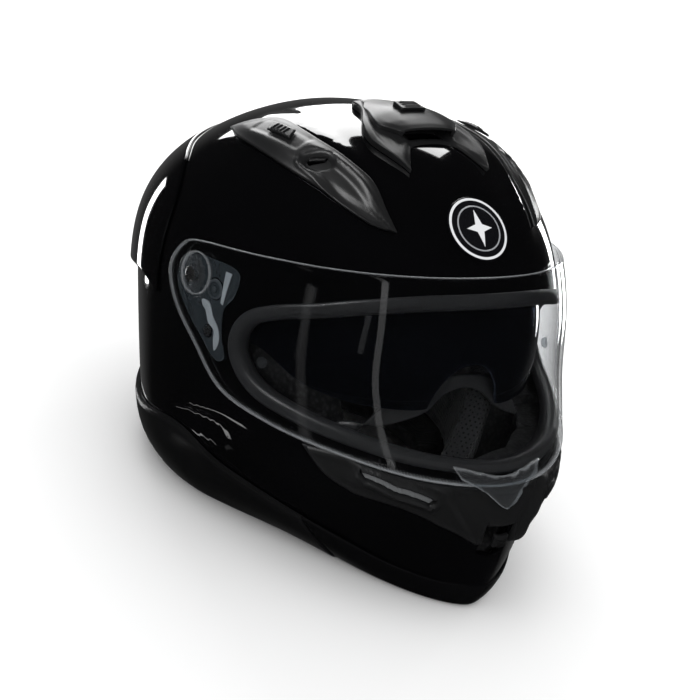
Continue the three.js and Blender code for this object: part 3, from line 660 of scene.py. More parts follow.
def clear_plastic(name, tint, rim, painted_brim_highlight, haze=0.02, painted_sheen=0.0):
    """A thin clear or tinted moulding: see-through, mirror-like by Fresnel, with a painted highlight along
    its brim.
    """
    n = Nodes(bpy.data.materials.new(name))
    gloss = n.ranged(n.noise(30.0, 4.0), 0.35, 0.7, haze, haze * 2.5)
    bump = n.bump(n.noise(16.0, 1.0), 0.05, 0.0004)
    mirror = n.add("ShaderNodeBsdfGlossy", {"Color": (1, 1, 1, 1), "Roughness": gloss,
                                            "Normal": bump}).outputs[0]
    colour = n.mixed(n.patchy(900.0, 2.0, 0, 1), tint, scaled(tint, 0.94))
    clear = n.add("ShaderNodeBsdfTransparent", {"Color": colour}).outputs[0]
    behind = n.add("ShaderNodeNewGeometry").outputs["Backfacing"]
    fresnel = n.add("ShaderNodeFresnel", {"IOR": n.ranged(behind, 0, 1, 1.5, 1 / 1.5)}).outputs[0]
    body = n.add("ShaderNodeMixShader", {0: fresnel, 1: clear, 2: mirror}).outputs[0]
    # Painted highlight: a pale opaque layer laid along the brim, and thinly over the whole piece by the last
    # amount.
    edge = n.principled(Base_Color=n.mixed(n.noise(120.0), rim, scaled(rim, 0.7)), Roughness=0.12,
                        Specular_IOR_Level=0.8).outputs[0]
    brim = n.add("ShaderNodeAttribute", attribute_name="brim").outputs["Fac"]
    amount = n.maths("ADD", n.maths("MULTIPLY", brim, painted_brim_highlight), painted_sheen)
    return n.output(n.add("ShaderNodeMixShader", {0: amount, 1: body, 2: edge}).outputs[0])


def knit(name, thread, shade, scale, holes):
    """Open knit mesh over padding: a net of threads round small holes darkened with painted shade."""
    n = Nodes(bpy.data.materials.new(name))
    cell = n.cells(scale, 0.12)
    net = n.ranged(cell, 0.22, 0.5, 0.0, 1.0)
    strand = n.maths("ADD", net, n.maths("MULTIPLY", n.noise(scale * 4, 2.0), 0.25))
    tone = n.mixed(n.patchy(14.0, 3.0, 0, 1), thread, scaled(thread, 0.75))
    # Painted shade: the holes are mixed towards the shade colour.
    colour = n.mixed(n.maths("MULTIPLY", n.ranged(net, 0.0, 0.6, 1.0, 0.0), holes), tone, shade)
    return n.output(n.principled(Base_Color=colour, Roughness=n.patchy(50.0, 3.0, 0.8, 0.95),
                                 Sheen_Weight=0.5, Sheen_Roughness=0.5, Specular_IOR_Level=0.25,
                                 Normal=n.bump(strand, 0.7, 0.0006)).outputs[0])


def foam(name, dark, light):
    n = Nodes(bpy.data.materials.new(name))
    bead = n.cells(330.0, 0.9)
    # Painted shade: darker in the gaps between the beads, which the bump sinks.
    colour = n.mixed(n.ranged(bead, 0.1, 0.6, 0, 1), light, dark)
    return n.output(n.principled(Base_Color=colour, Roughness=n.patchy(80.0, 3.0, 0.65, 0.85),
                                 Normal=n.bump(bead, 0.6, -0.0006)).outputs[0])


def webbing(name, dark, light):
    """Woven nylon tape, from UVs in metres: u across the width, v along the length."""
    n = Nodes(bpy.data.materials.new(name))
    uv = n.add("ShaderNodeTexCoord").outputs["UV"]
    parts = n.add("ShaderNodeSeparateXYZ", {0: uv})
    across = n.maths("MULTIPLY", parts.outputs[0], 2 * math.pi / 0.0016)
    along = n.maths("MULTIPLY", parts.outputs[1], 2 * math.pi / 0.0022)
    shifted = n.maths("ADD", along, n.maths("MULTIPLY", n.maths("SIGN", n.maths("SINE", across)),
                                            math.pi / 2))
    weave = n.maths("MULTIPLY", n.maths("ABSOLUTE", n.maths("SINE", across)),
                    n.ranged(n.maths("SINE", shifted), -1, 1, 0.35, 1.0))
    fuzz = n.maths("ADD", weave, n.maths("MULTIPLY", n.noise(2500.0), 0.3))
    # Painted shade and highlight: darker in the weave's hollows, lighter on the raised threads.
    colour = n.mixed(n.ranged(fuzz, 0.2, 1.1, 0, 1), dark, light)
    return n.output(n.principled(Base_Color=colour, Roughness=n.ranged(weave, 0, 1, 0.85, 0.6),
                                 Sheen_Weight=0.3, Normal=n.bump(fuzz, 0.7, 0.0004)).outputs[0])


def metal(name, tone, rough):
    n = Nodes(bpy.data.materials.new(name))
    wide = n.add("ShaderNodeMapping", {"Vector": n.place, "Scale": (40.0, 900.0, 900.0)}).outputs[0]
    lines = n.noise(1.0, 4.0, vector=wide)
    colour = n.mixed(n.patchy(40.0, 4.0, 0, 1), tone, scaled(tone, 0.72))
    return n.output(n.principled(Base_Color=colour, Metallic=1.0, Roughness=n.ranged(lines, 0.3, 0.7, *rough),
                                 Normal=n.bump(lines, 0.2, 0.0001)).outputs[0])


GLOSS = plastic("gloss_paint", (0.0010, 0.0010, 0.0012), (0.0016, 0.0016, 0.0020), (0.05, 0.08), 700.0,
                0.000004, spec=0.5, coat=1.0, coat_rough=0.012)
# The paler edge colour of these mouldings is partly wear and partly painted highlight.
MATT = plastic("satin_moulding", (0.0060, 0.0062, 0.0066), (0.0085, 0.0087, 0.0092), (0.30, 0.37), 1900.0,
               0.00012, spec=0.6, edge_wear_and_highlight=0.4, edge_wear_and_highlight_colour=(0.03, 0.031, 0.033))
TRIM = plastic("trim_moulding", (0.0035, 0.0036, 0.0039), (0.0055, 0.0056, 0.006), (0.28, 0.35), 1700.0,
               0.0001, spec=0.5, edge_wear_and_highlight=0.35, edge_wear_and_highlight_colour=(0.02, 0.02, 0.022))
FRONT_TRIM = plastic("front_trim_moulding", (0.002, 0.002, 0.0023), (0.0032, 0.0032, 0.0036), (0.16, 0.22),
                     1500.0, 0.00008, spec=0.5, coat=0.4, coat_rough=0.12)
RUBBER = plastic("port_rubber", (0.016, 0.0165, 0.0175), (0.023, 0.0235, 0.025), (0.3, 0.4), 2600.0, 0.0001,
                 spec=0.6)
# Its paler edge colour is partly wear and partly painted highlight.
GREY = plastic("mechanism_plastic", (0.017, 0.022, 0.026), (0.028, 0.034, 0.039), (0.18, 0.26), 1400.0,
               0.00005, spec=0.6, edge_wear_and_highlight=0.6, edge_wear_and_highlight_colour=(0.14, 0.16, 0.175))
LINK = plastic("link_plastic", (0.20, 0.23, 0.25), (0.3, 0.33, 0.35), (0.2, 0.3), 1400.0, 0.00005, spec=0.7)
SILVER = plastic("grille_satin", (0.10, 0.105, 0.11), (0.15, 0.155, 0.16), (0.22, 0.3), 900.0, 0.00004,
                 spec=0.8)
INK, WHITE, PALE = [plastic(name, dark, light, (0.1, 0.16), 700.0, 0.00001, coat=1.0)
                    for name, dark, light in (("emblem_ink", (0.004, 0.004, 0.005), (0.006, 0.006, 0.008)),
                                              ("emblem_white", (0.78, 0.79, 0.81), (0.85, 0.86, 0.88)),
                                              ("emblem_grey", (0.32, 0.33, 0.35), (0.38, 0.39, 0.41)))]
# The second colour of each clear moulding is a painted highlight along its brim; where it is given, the last
# amount spreads it thinly over the whole piece as a painted sheen.
CLEAR = clear_plastic("clear_polycarbonate", (0.97, 0.975, 0.98), (0.55, 0.57, 0.59), 0.45, haze=0.01)
CLEAR_THICK = clear_plastic("clear_moulding", (0.80, 0.82, 0.835), (0.5, 0.52, 0.54), 0.3, haze=0.04,
                            painted_sheen=0.03)
SMOKE = clear_plastic("smoke_polycarbonate", (0.11, 0.125, 0.16), (0.06, 0.07, 0.10), 0.4, haze=0.012,
                      painted_sheen=0.035)
# The second colour of each knit is painted shade in its holes.
KNIT = knit("knit_mesh", (0.13, 0.133, 0.14), (0.004, 0.004, 0.004), 420.0, holes=0.85)
CLOTH = knit("brushed_cloth", (0.03, 0.03, 0.032), (0.012, 0.012, 0.013), 1500.0, holes=0.35)
# Its darker colour is painted shade between the beads.
FOAM = foam("bead_foam", (0.012, 0.012, 0.013), (0.035, 0.035, 0.037))
# Its darker colour is painted shade in the weave's hollows, its lighter a painted highlight on the raised
# threads.
WEB = webbing("strap_web", (0.006, 0.006, 0.0065), (0.035, 0.035, 0.038))
THREAD = plastic("strap_thread", (0.05, 0.05, 0.053), (0.08, 0.08, 0.085), (0.6, 0.75), 4000.0, 0.0001,
                 spec=0.3)
STEEL = metal("brushed_steel", (0.56, 0.57, 0.58), (0.2, 0.34))

# ---- outer shell ----------------------------------------------------------------------------------------
EYE_PORT = [(-230, 27), (-157, 27), (-130, 22), (-105, 16), (-80, 11), (-64, 5), (-55, -5), (-53, -16),
            (-59, -28), (-72, -39), (-100, -50.5), (-130, -60), (-160, -69.5), (-185, -76.5), (-230, -80)]
VISOR_OUTLINE = [(-230, 41), (-150, 40), (-110, 41), (-70, 43), (-12, 44), (-3, 40), (7, 27), (6, 17),
                 (-2, 3), (-22, -17), (-46, -40), (-80, -54), (-124, -67), (-165, -79), (-230, -92)]
CHIN_OUTLINE = [(-230, -93.5), (-164.6, -80.5), (-123.5, -68.5), (-104, -66), (-122, -89), (-153, -99),
                (-170, -114), (-178, -133), (-230, -140)]
TRIM_TOP = [(200, -48), (120, -54), (57, -68), (-11, -72), (-44, -93), (-82, -114), (-107, -126),
            (-137, -141), (-160, -148), (-230, -150)]
CHIN_SIDE_SLOT = [(15, 118.2), (31, 114.6), (30, 116.6), (17, 120.4)]
CHIN_MIDDLE_SLOT = [(-3.4, 121), (3.4, 121), (3.4, 127.5), (-3.4, 127.5)]
SCOOP = [(23, 64.5), (29, 62.8), (36.8, 58.2), (43.4, 54), (57.7, 47.5), (75, 42), (94, 39), (106, 37.2),
         (99, 32), (83, 28), (60, 32.5), (50, 36.5), (41.5, 40.6), (35, 45), (28.5, 51), (25.3, 59)]
RECESS = [(54.5, 45.2), (50, 42.6), (44.5, 42.3), (38.5, 45.6), (32.5, 51), (28, 58), (24.8, 64.2),
          (31, 61.2), (38.8, 57), (46.5, 50.8)]
SCOOP_SLOT = [(52.6, 44.6), (49.5, 43), (44.2, 42.9), (45.2, 44.6), (51, 46)]
TOP_VENT = [(-31, -107), (-20, -91), (-16, -88), (16, -88), (20, -91), (31, -107), (41, -76), (37, -60),
            (24, -40), (16, -18), (-16, -18), (-24, -40), (-37, -60), (-41, -76)]
SPOILER = [(104, 88), (102, 62), (112, 52), (140, 46), (180, 44), (220, 46), (248, 52), (258, 62), (256, 88),
           (220, 84), (180, 83), (140, 84)]


def along_lams(level, lams, low=40.0, high=157.5):
    """For each lam in degrees, the alpha where level(points) falls to nought."""
    a, b = np.full(len(lams), low), np.full(len(lams), high)
    for _ in range(40):
        m = (a + b) / 2
        above = level(polar(lams, m)) > 0
        a, b = np.where(above, m, a), np.where(above, b, m)
    return a


def at_height(height, off=0.0):
    """Level function: how far a surface point is above a height over the lower rim, in mm."""
    return lambda uv: to_row(shell_point(uv, off))[:, 2] * 1000 - height


AROUND = np.arange(0, 360, 1.5)
RIM_LOOP = polar(AROUND, along_lams(at_height(RIM_HEIGHT), AROUND))
PORT_LOOP = loop_over_face(rounded(EYE_PORT, closed=False))
SCOOP_LOOP = rounded(ray_uv(SCOOP), corners=(0, 7))
HIGH_EDGE = shell_point(rounded(ray_uv([(100, 27), (84, 24.5), (66, 27.5), (54, 32), (44, 37.5), (36, 42),
                                        (29.5, 48), (24, 55), (19, 66), (16, 76)]), closed=False), 0.0)
CREASE_HIGH = rounded([(30, -62), (10, -61), (-20, -58), (-57, -57), (-80, -59), (-110, -68), (-135, -82)],
                      closed=False)
CREASE_LOW = rounded([(30, -64), (10, -66), (-20, -71), (-42, -78), (-62, -98), (-94, -122), (-135, -142)],
                     closed=False)


def shell_lift(uv):
    """Sculpting of the painted shell, in mm: ridges over the scoops, low side scallops, the chin's keel."""
    p = shell_point(uv, 0.0)
    q = folded(p)
    alpha = angles(uv)[1]
    lift = np.zeros(len(uv))
    near = (alpha < 90) & (q[:, 0] > 5) & (q[:, 1] < 60)
    if near.any():
        d = nearest_distance(q[near], HIGH_EDGE)
        lift[near] += 1.5 * np.exp(-(d / 7.5) ** 2) * smoothstep(q[near, 2], 30, 80)
    top = np.interp(q[:, 1], CREASE_HIGH[::-1, 0], CREASE_HIGH[::-1, 1])
    low = np.interp(q[:, 1], CREASE_LOW[::-1, 0], CREASE_LOW[::-1, 1])
    t = (top - q[:, 2]) / np.maximum(top - low, 1.0)
    dip = smoothstep(t, -0.05, 0.55) * (1 - smoothstep(t, 0.68, 1.1))
    lift -= 3.4 * dip * smoothstep(q[:, 1], -132, -96) * (1 - smoothstep(q[:, 1], -25, 22)) * (q[:, 0] > 40)
    keel = smoothstep(alpha, 108, 128) * np.maximum(0, 1 - np.abs(p[:, 0]) / 34) ** 1.6
    lift += 3.0 * keel * (p[:, 1] < -90)
    return lift


def lifted(off):
    return lambda uv: off + shell_lift(uv)


def inset(points, by):
    """A closed outline moved inwards by a distance in its own units."""
    p = np.array(points, float)
    if area(p) < 0:
        p = p[::-1]
    before = p - np.roll(p, 1, axis=0)
    after = np.roll(p, -1, axis=0) - p
    before /= np.linalg.norm(before, axis=1)[:, None]
    after /= np.linalg.norm(after, axis=1)[:, None]
    side_way = np.stack([-before[:, 1] - after[:, 1], before[:, 0] + after[:, 0]], -1)
    return p + side_way * (by / (1 + np.einsum("ij,ij->i", before, after)))[:, None]


HOOD_MOUTH = [(-14, -78), (14, -78), (13, -69), (-13, -69)]
holes = [PORT_LOOP, plan_uv(HOOD_MOUTH)]
for outline in (CHIN_SIDE_SLOT, SCOOP_SLOT):
    holes.append(inset(ray_uv(outline), 0.35))
    holes.append(mirrored(holes[-1]))
holes.append(inset(ray_uv(CHIN_MIDDLE_SLOT), 0.35))
shell = plate(RIM_LOOP, shell_lift, lifted(-SHELL_THICK), holes, step=1.25, edge=1.6, spacing=2.4)
make("outer_shell", shell, GLOSS, "outer_shell")


# ---- places on the shell --------------------------------------------------------------------------------
class Patch:
    """A flat frame touching the shell: chart points for local (across, up) points in mm, and back."""

    def __init__(self, lam, alpha, turn=0.0):
        uv = ray_uv([(lam, alpha)])
        self.at = shell_point(uv)[0]
        self.out = surface_normals(shell_point, uv, as_function(0))[0]
        across = np.cross([0, 0, 1.0], self.out)
        across /= np.linalg.norm(across)
        up_way = np.cross(self.out, across)
        c, s = math.cos(math.radians(turn)), math.sin(math.radians(turn))
        self.across, self.up = c * across + s * up_way, -s * across + c * up_way

    def uv(self, xy):
        xy = np.asarray(xy, float)
        return uv_of_direction(self.at + xy[:, :1] * self.across + xy[:, 1:] * self.up)

    def local(self, uv):
        p = shell_point(uv) - self.at
        return p @ self.across, p @ self.up

    def place(self, x=0.0, y=0.0, z=0.0):
        return self.at + x * self.across + y * self.up + z * self.out


def ribs(x, centres, half, soft=0.35):
    return sum(smoothstep(half + soft - np.abs(x - c), 0, 2 * soft) for c in centres)


def signed_depth(uv, loop):
    """Distance inside a chart outline, in mm on the shell; negative outside."""
    line = resampled(shell_point, loop, 0.8)
    d = nearest_distance(shell_point(uv), shell_point(line))
    return np.where(within_loop(uv, line), d, -d)


# ---- side scoops ----------------------------------------------------------------------------------------
RECESS_LOOP = rounded(ray_uv(RECESS), corners=(6,))
SLOT_LOOP = ray_uv(SCOOP_SLOT)
HORN = 4.9
slide = Patch(70, 35, 16)


def scoop_top(uv):
    depth = signed_depth(uv, RECESS_LOOP)
    alpha = angles(uv)[1]
    floor = 3.9 - 2.2 * smoothstep(alpha, 45, 63)
    x, y = slide.local(uv)
    under_slider = smoothstep(25 - np.abs(x), 0, 3) * smoothstep(8 - np.abs(y), 0, 2)
    lip = 0.75 * np.exp(-((depth + 1.1) / 1.0) ** 2) * (1 - under_slider)
    return HORN - floor * smoothstep(depth, -0.3, 6.0) + lip + shell_lift(uv) * 0.2 - 0.6 * under_slider


def scoop_profile(depth, uv):
    lam = angles(uv)[0]
    return -(2.2 - 1.2 * smoothstep(np.degrees(np.abs(lam)), 60, 100)) * (1 - smoothstep(depth, 0.6, 9.0))


scoop = plate(SCOOP_LOOP, scoop_top, GAP, [inset(SLOT_LOOP, 0.2)], step=0.5, edge=0.9, spacing=1.3,
              profile=((2.0, 3.2, 4.6), scoop_profile))
vane = plate(ray_uv([(51.3, 43.9), (45.2, 43.6), (45.6, 44.2), (51.0, 44.7)]), 2.4, 0.6, step=0.4, edge=0.3,
             spacing=0.8)
make_pair("side_scoop", scoop.merged(vane), MATT, "side_scoop", sharp=50)


def scoop_slider_top(uv):
    x, y = slide.local(uv)
    ridges = 0.9 * ribs(x, (-5.4, -1.8, 1.8, 5.4), 0.75) * smoothstep(3.4 - np.abs(y), 0, 0.8)
    return 6.9 + ridges - 0.5 * smoothstep(x, 2, 13)


scoop_slider = plate(slide.uv([(-13.5, -3.6), (8.5, -4.4), (13, 3.8), (-9.5, 4.4)]), scoop_slider_top, 5.3,
                     step=0.3, edge=0.7, spacing=0.9)
make_pair("scoop_slider", scoop_slider, MATT, "side_scoop_slider", body="scoop_slider_{}", sharp=50)

# ---- top vent -------------------------------------------------------------------------------------------
VENT_RIDGE = np.array([(17, -26), (25, -42), (33, -58), (37.5, -74), (34.5, -90), (30.5, -104)], float)


def vent_top(uv):
    p = shell_point(uv)
    x, y = np.abs(p[:, 0]), p[:, 1]
    line = rounded(VENT_RIDGE, closed=False, per=20)
    d = nearest_distance(np.c_[x, y, 0 * x], np.c_[line, 0 * line[:, 0]])
    outer = x > np.interp(y, line[::-1, 1], line[::-1, 0])
    ridge = 2.4 * np.where(outer, np.exp(-(d / 7.0) ** 2), np.exp(-(d / 3.4) ** 2))
    mouth = smoothstep(18.5 - x, 0, 3.5) * smoothstep(-61 - y, 0, 6)
    cheek = smoothstep(31 - x, 0, 9) * smoothstep(-72 - y, 0, 10) * (1 - mouth)
    return 3.9 + ridge - 2.5 * mouth - 1.1 * cheek - 1.0 * smoothstep(-88 - y, 0, 18)


VENT_LOOP = plan_uv(rounded(np.array(TOP_VENT) * [0.95, 0.955], corners=(0, 1, 4, 5), per=8))
vent = plate(VENT_LOOP, vent_top, GAP, [plan_uv(inset(np.array(HOOD_MOUTH), 0.5))], step=0.6, edge=1.0,
             spacing=1.5, profile=((1.9, 3.0), lambda depth, uv: -0.9 * (1 - smoothstep(depth, 0.8, 5.0))))
HOOD = [(-20, -76), (20, -76), (28.5, -63), (23, -44), (15, -26), (-15, -26), (-23, -44), (-28.5, -63)]


def hood_top(uv):
    p = shell_point(uv)
    x, y = np.abs(p[:, 0]), p[:, 1]
    rise = 4.6 * smoothstep(-24 - y, 0, 34)
    return 5.0 + rise - 1.6 * smoothstep(x, 12, 28) - 0.7 * smoothstep(-66 - y, 0, 9)


def hood_bottom(uv):
    p = shell_point(uv)
    x, y = np.abs(p[:, 0]), p[:, 1]
    mouth = smoothstep(19.5 - x, 0, 2.5) * smoothstep(-58 - y, 0, 5)
    return 2.2 + 4.6 * mouth


hood = plate(plan_uv(rounded(HOOD, corners=(0, 1), per=8)), hood_top, hood_bottom, step=0.6, edge=1.0,
             spacing=1.5, profile=((1.9,), lambda depth, uv: -0.5 * (1 - smoothstep(depth, 0.8, 4.0))))
vent.merged(hood)
make("top_vent", vent, MATT, "top_vent_cover", sharp=50)

top_slide = Patch(0, 23.2)


def top_slider_top(uv):
    x, y = top_slide.local(uv)
    return (hood_top(uv) + 2.6 + 0.9 * smoothstep(y, -2, 6)
            + 0.8 * ribs(y, (-2.9, 0, 2.9), 0.7) * smoothstep(5.6 - np.abs(x), 0, 0.8))


top_slider = plate(top_slide.uv([(-8.5, -5.2), (8.5, -5.2), (7.4, 5.6), (-7.4, 5.6)]), top_slider_top,
                   lambda uv: hood_top(uv) + 0.15, step=0.3, edge=0.7, spacing=0.9)
make("top_slider", top_slider, MATT, "top_vent_slider", body="top_slider", sharp=50)


# ---- rear spoiler ---------------------------------------------------------------------------------------
def spoiler_top(uv):
    lam, alpha = angles(uv)
    return 1.9 + 5 * np.maximum(0, -np.cos(lam)) * np.clip((alpha - 46) / 40, 0, 1)


spoiler = plate(rounded(ray_uv(SPOILER), corners=(0, 8)), spoiler_top, GAP, step=1.2, edge=1.3, spacing=2.0)
make("rear_spoiler", spoiler, GLOSS, "rear_spoiler")

# ---- lower trims ----------------------------------------------------------------------------------------
TRIM_CURVE = rounded(TRIM_TOP, closed=False, per=10)[::-1]
TRIM_STEP = -82  # where the front trim meets the rear one


def trim_level(uv):
    """Level function: how far a shell point is above the trims' upper edge."""
    p = shell_point(uv)
    return p[:, 2] - np.interp(p[:, 1], *TRIM_CURVE.T)


def trim_shape(swell, lip):
    """The trim as one ring: an outer face, a rounded foot on the ground plane, an upright inner side."""
    lams = np.arange(0, 360, 1.2)
    pocket = 0.3 * smoothstep(26 - np.abs(lams - 84), 0, 8)
    top = along_lams(trim_level, lams)
    rows = []

    def at(height, off):
        return shell_point(polar(lams, along_lams(at_height(height, off), lams)), off)
    foot = along_lams(at_height(1.6, lip), lams)
    rows.append(shell_point(polar(lams, top + 0.25), 0.45))
    rows.append(shell_point(polar(lams, top), 1.2))
    rows.append(shell_point(polar(lams, top + 0.12), lip * 0.72))
    for t in (0.02, 0.06, 0.14, 0.26, 0.4, 0.55, 0.7, 0.84, 0.94):
        bulge = swell * math.sin(math.pi * min(1, t * 1.05)) ** 0.8
        hollow = pocket * smoothstep(t, 0.0, 0.3) * smoothstep(t, 1.0, 0.75)
        off = (lip * (0.94 if t == 0.02 else 1.0) + bulge) * (1 - hollow)
        rows.append(shell_point(polar(lams, top + (foot - top) * t), off))
    rows += [at(1.6, lip), at(0.45, lip - 0.5), at(0.0, lip - 1.6), at(0.0, -2.0), at(0.0, -10.5),
             at(0.5, -11.6), at(2.9, -12.0), at(3.55, -11.0), at(3.6, -5.0), at(3.6, 0.45)]
    inner = along_lams(at_height(3.9, 0.45), lams)
    for t in (0.05, 0.35, 0.7):
        rows.append(shell_point(polar(lams, inner + (top + 0.25 - inner) * t), 0.45))
    rows = np.array(rows)
    m, n = rows.shape[:2]
    faces = []
    for i in range(m):
        for j in range(n):
            k, l = (i + 1) % m, (j + 1) % n
            faces.append((i * n + j, k * n + j, k * n + l, i * n + l))
    return rows.reshape(-1, 3), faces


def half_trim(verts, faces, front):
    """The ring cut by the leaning plane between the front and rear trims."""
    bm = bmesh.new()
    for v in verts:
        bm.verts.new(v)
    bm.verts.ensure_lookup_table()
    for f in faces:
        bm.faces.new([bm.verts[i] for i in f])
    bmesh.ops.recalc_face_normals(bm, faces=bm.faces)
    normal = Vector((0, 220, -10)).normalized()
    at = Vector((0, TRIM_STEP + (-0.25 if front else 0.25), 0))
    got = bmesh.ops.bisect_plane(bm, geom=bm.verts[:] + bm.edges[:] + bm.faces[:], plane_co=at,
                                 plane_no=normal, clear_outer=front, clear_inner=not front)
    cut = [e for e in got["geom_cut"] if isinstance(e, bmesh.types.BMEdge)]
    bmesh.ops.holes_fill(bm, edges=cut, sides=0)
    bm.verts.index_update()
    made = Shape().add([list(v.co) for v in bm.verts], [tuple(v.index for v in f.verts) for f in bm.faces])
    bm.free()
    return made


make("lower_trim_rear", half_trim(*trim_shape(0.9, 4.1), False), TRIM, "lower_trim_rear", sharp=42)
make("lower_trim_front", half_trim(*trim_shape(0.5, 2.9), True), FRONT_TRIM, "lower_trim_front", sharp=42)

# ---- chin vent ------------------------------------------------------------------------------------------
SLIT = ray_uv([(14.2, 117.9), (22, 117.1), (29.4, 116.3), (28.2, 117.4), (22, 118.4), (15.2, 118.9)])
BEAK = np.array([(17, 111), (12, 117), (6, 123.5), (3.8, 128.5)], float)


def chin_top(uv):
    lam, alpha = angles(uv)
    lam = np.degrees(np.abs(lam))
    x = lam * np.sin(np.radians(alpha)) * 3.4
    edge = np.interp(alpha, BEAK[:, 1], BEAK[:, 0]) * np.sin(np.radians(alpha)) * 3.4
    lift = 2.6 * np.exp(-((x - edge) / 5.0) ** 2) * smoothstep(alpha, 107, 114)
    lift -= 1.9 * smoothstep(edge - x, 1, 7) * smoothstep(alpha, 110, 116)
    d = -signed_depth(folded(uv), SLIT)
    lift += 0.9 * np.exp(-((d - 1.6) / 1.6) ** 2)
    lift += 1.1 * smoothstep(lam, 36, 18) * smoothstep(alpha, 106, 112)
    lift -= 1.5 * smoothstep(lam, 30, 32.5) * smoothstep(alpha, 112.4, 114.6)
    lift -= 1.4 * smoothstep(alpha, 118.6, 120.6) * smoothstep(lam, 12, 16) * smoothstep(lam, 38, 28)
    return 3.2 + lift + shell_lift(uv)


def chin_rim(depth, uv):
    """A raised border along the cover's edge."""
    return 1.0 * smoothstep(depth, 0.5, 1.6) * smoothstep(depth, 4.8, 2.4)


chin_holes = [SLIT, mirrored(SLIT), ray_uv(CHIN_MIDDLE_SLOT)]
CHIN_LOOP = loop_over_face(rounded(CHIN_OUTLINE, corners=(3,), closed=False))
chin = plate(CHIN_LOOP, chin_top, lifted(GAP), chin_holes, step=0.8, edge=1.1, spacing=1.6,
             profile=((1.8, 2.6, 3.6, 4.8), chin_rim), hole_spacing=1.0)
make("chin_vent", chin, MATT, "chin_vent_cover", sharp=45)


def grille_top(uv):
    lam = angles(uv)[0]
    return 2.1 + shell_lift(uv) + 0.5 * ribs(np.degrees(np.abs(lam)), (18.5, 21, 23.5, 26, 28.5), 0.35, 0.25)


grille = plate(inset(SLIT, 0.1), grille_top, lifted(0.9), step=0.35, edge=0.3,
               spacing=0.8)
make_pair("chin_grille", grille, SILVER, "chin_vent_grille", sharp=45)
chin_slide = Patch(0, 123.2)


def chin_slider_top(uv):
    x, y = chin_slide.local(uv)
    return 4.4 + shell_lift(uv) + 1.2 * ribs(y, (-2.3, 0, 2.3), 0.5) * smoothstep(4.2 - np.abs(x), 0, 0.8)


chin_slider = plate(chin_slide.uv(box(4.9, 3.9)),
                    chin_slider_top, lifted(1.6), step=0.3, edge=0.6, spacing=0.7)
make("chin_slider", chin_slider, MATT, "chin_vent_slider", body="chin_slider", sharp=50)

# ---- emblem: a round badge with a plain four-pointed star -----------------------------------------------
badge = Patch(0, 63.6)


def disc(r):
    return badge.uv(ellipse(r, r, 72))


emblem = plate(disc(22), 1.1, GAP, step=1.0, edge=0.35, spacing=1.2)
inlay = {"edge": 0.2, "spacing": 1.0, "shape": emblem}
plate(disc(21), 1.35, 0.8, [disc(19.3)], step=1.0, slot=1, **inlay)
plate(disc(15.6), 1.35, 0.8, [disc(14.6)], step=1.0, slot=2, **inlay)
STAR_TIP, STAR_NOTCH = (9.6, 12.6), (3.6, 3.6)
star = [(a * math.sin(k * math.pi / 4), b * math.cos(k * math.pi / 4))
        for k, (a, b) in enumerate([STAR_TIP, STAR_NOTCH] * 4)]
plate(badge.uv(star), 1.35, 0.8, step=0.8, slot=1, **inlay)
make("brow_emblem", emblem, [INK, WHITE, PALE], "brow_emblem")

# ---- visor ----------------------------------------------------------------------------------------------
VISOR_IN, VISOR_OUT, HUB_R = 3.2, 5.6, 12.0
VISOR_LOOP = loop_over_face(rounded(VISOR_OUTLINE, closed=False))


def visor_rim(depth, uv):
    """A raised bead just inside the visor's edge."""
    return 0.35 * (smoothstep(depth, 0.3, 1.0) - smoothstep(depth, 2.0, 2.8))


hub_hole = side_uv(circle(PIVOT, HUB_R + GAP, 40))
visor = plate(VISOR_LOOP, lambda uv: np.full(len(uv), VISOR_OUT), VISOR_IN, [hub_hole, mirrored(hub_hole)],
              step=1.5, edge=0.7, spacing=2.0, profile=((1.0, 1.5, 2.0, 2.4, 2.8, 4.5), visor_rim),
              hole_spacing=1.5)
make("visor", visor, CLEAR, "visor", body="visor_assembly", sharp=60)

hub_x = side_points([PIVOT])[0, 0]
axis_x = np.array([1.0, 0, 0])
hub_at = np.array([0, *PIVOT])


def cog(count, depth):
    return lambda t: 1 - depth * (0.5 - 0.5 * np.clip(2.6 * np.cos(count * t), -1, 1))


hub = lathe([(3.4, 3.4), (3.4, 6.2), (4.2, 6.5), (5.0, 6.5), (5.4, 5.2), (7.2, 5.2), (7.8, 6.6), (9.6, 6.6),
             (10.2, 5.6), (11.7, 5.6), (12.0, 5.2), (12.0, 3.7), (11.7, 3.4), (3.4, 3.4)],
            hub_at + axis_x * hub_x, axis_x, 96, teeth=cog(12, 0.11))
make_pair("visor_hub", hub, CLEAR_THICK, "visor_hub", body="visor_assembly", weld=0.01)
screw = lathe([(0, 2.9), (3.0, 2.9), (3.0, 6.8), (5.0, 6.8), (5.3, 7.2), (5.2, 7.9), (4.6, 8.3), (2.6, 8.5),
               (2.4, 7.6), (0, 7.6)], hub_at + axis_x * hub_x, axis_x, 48)
make_pair("visor_pivot_screw", screw, STEEL, "visor_pivot_screw", weld=0.01)

VISOR_BASE = [(-10, 36), (-1, 33), (3, 25), (1, 14), (-8, 2), (-24, -13), (-40, -26), (-46, -24), (-43, -10),
              (-44, 6), (-52, 16), (-54, 30), (-30, 36)]
BASE_SCREW, CAM = (-31.0, -9.0), (-36.0, 18.0)


def base_top(uv):
    p = shell_point(uv)
    y, z = p[:, 1], p[:, 2]
    wave = np.hypot(y - PIVOT[0], z - PIVOT[1])
    cuts = ribs(y + 0.25 * z, (-50, -46.5, -43), 0.5, 0.3) * smoothstep(z, 6, 12)
    grooves = 0.35 * (ribs(wave, (15.5, 18.5), 0.5) + cuts)
    swept = 0.65 * smoothstep(y, -26, -12) * smoothstep(z, 14, 27)  # lower where the visor sweeps close
    return 1.5 - grooves - swept


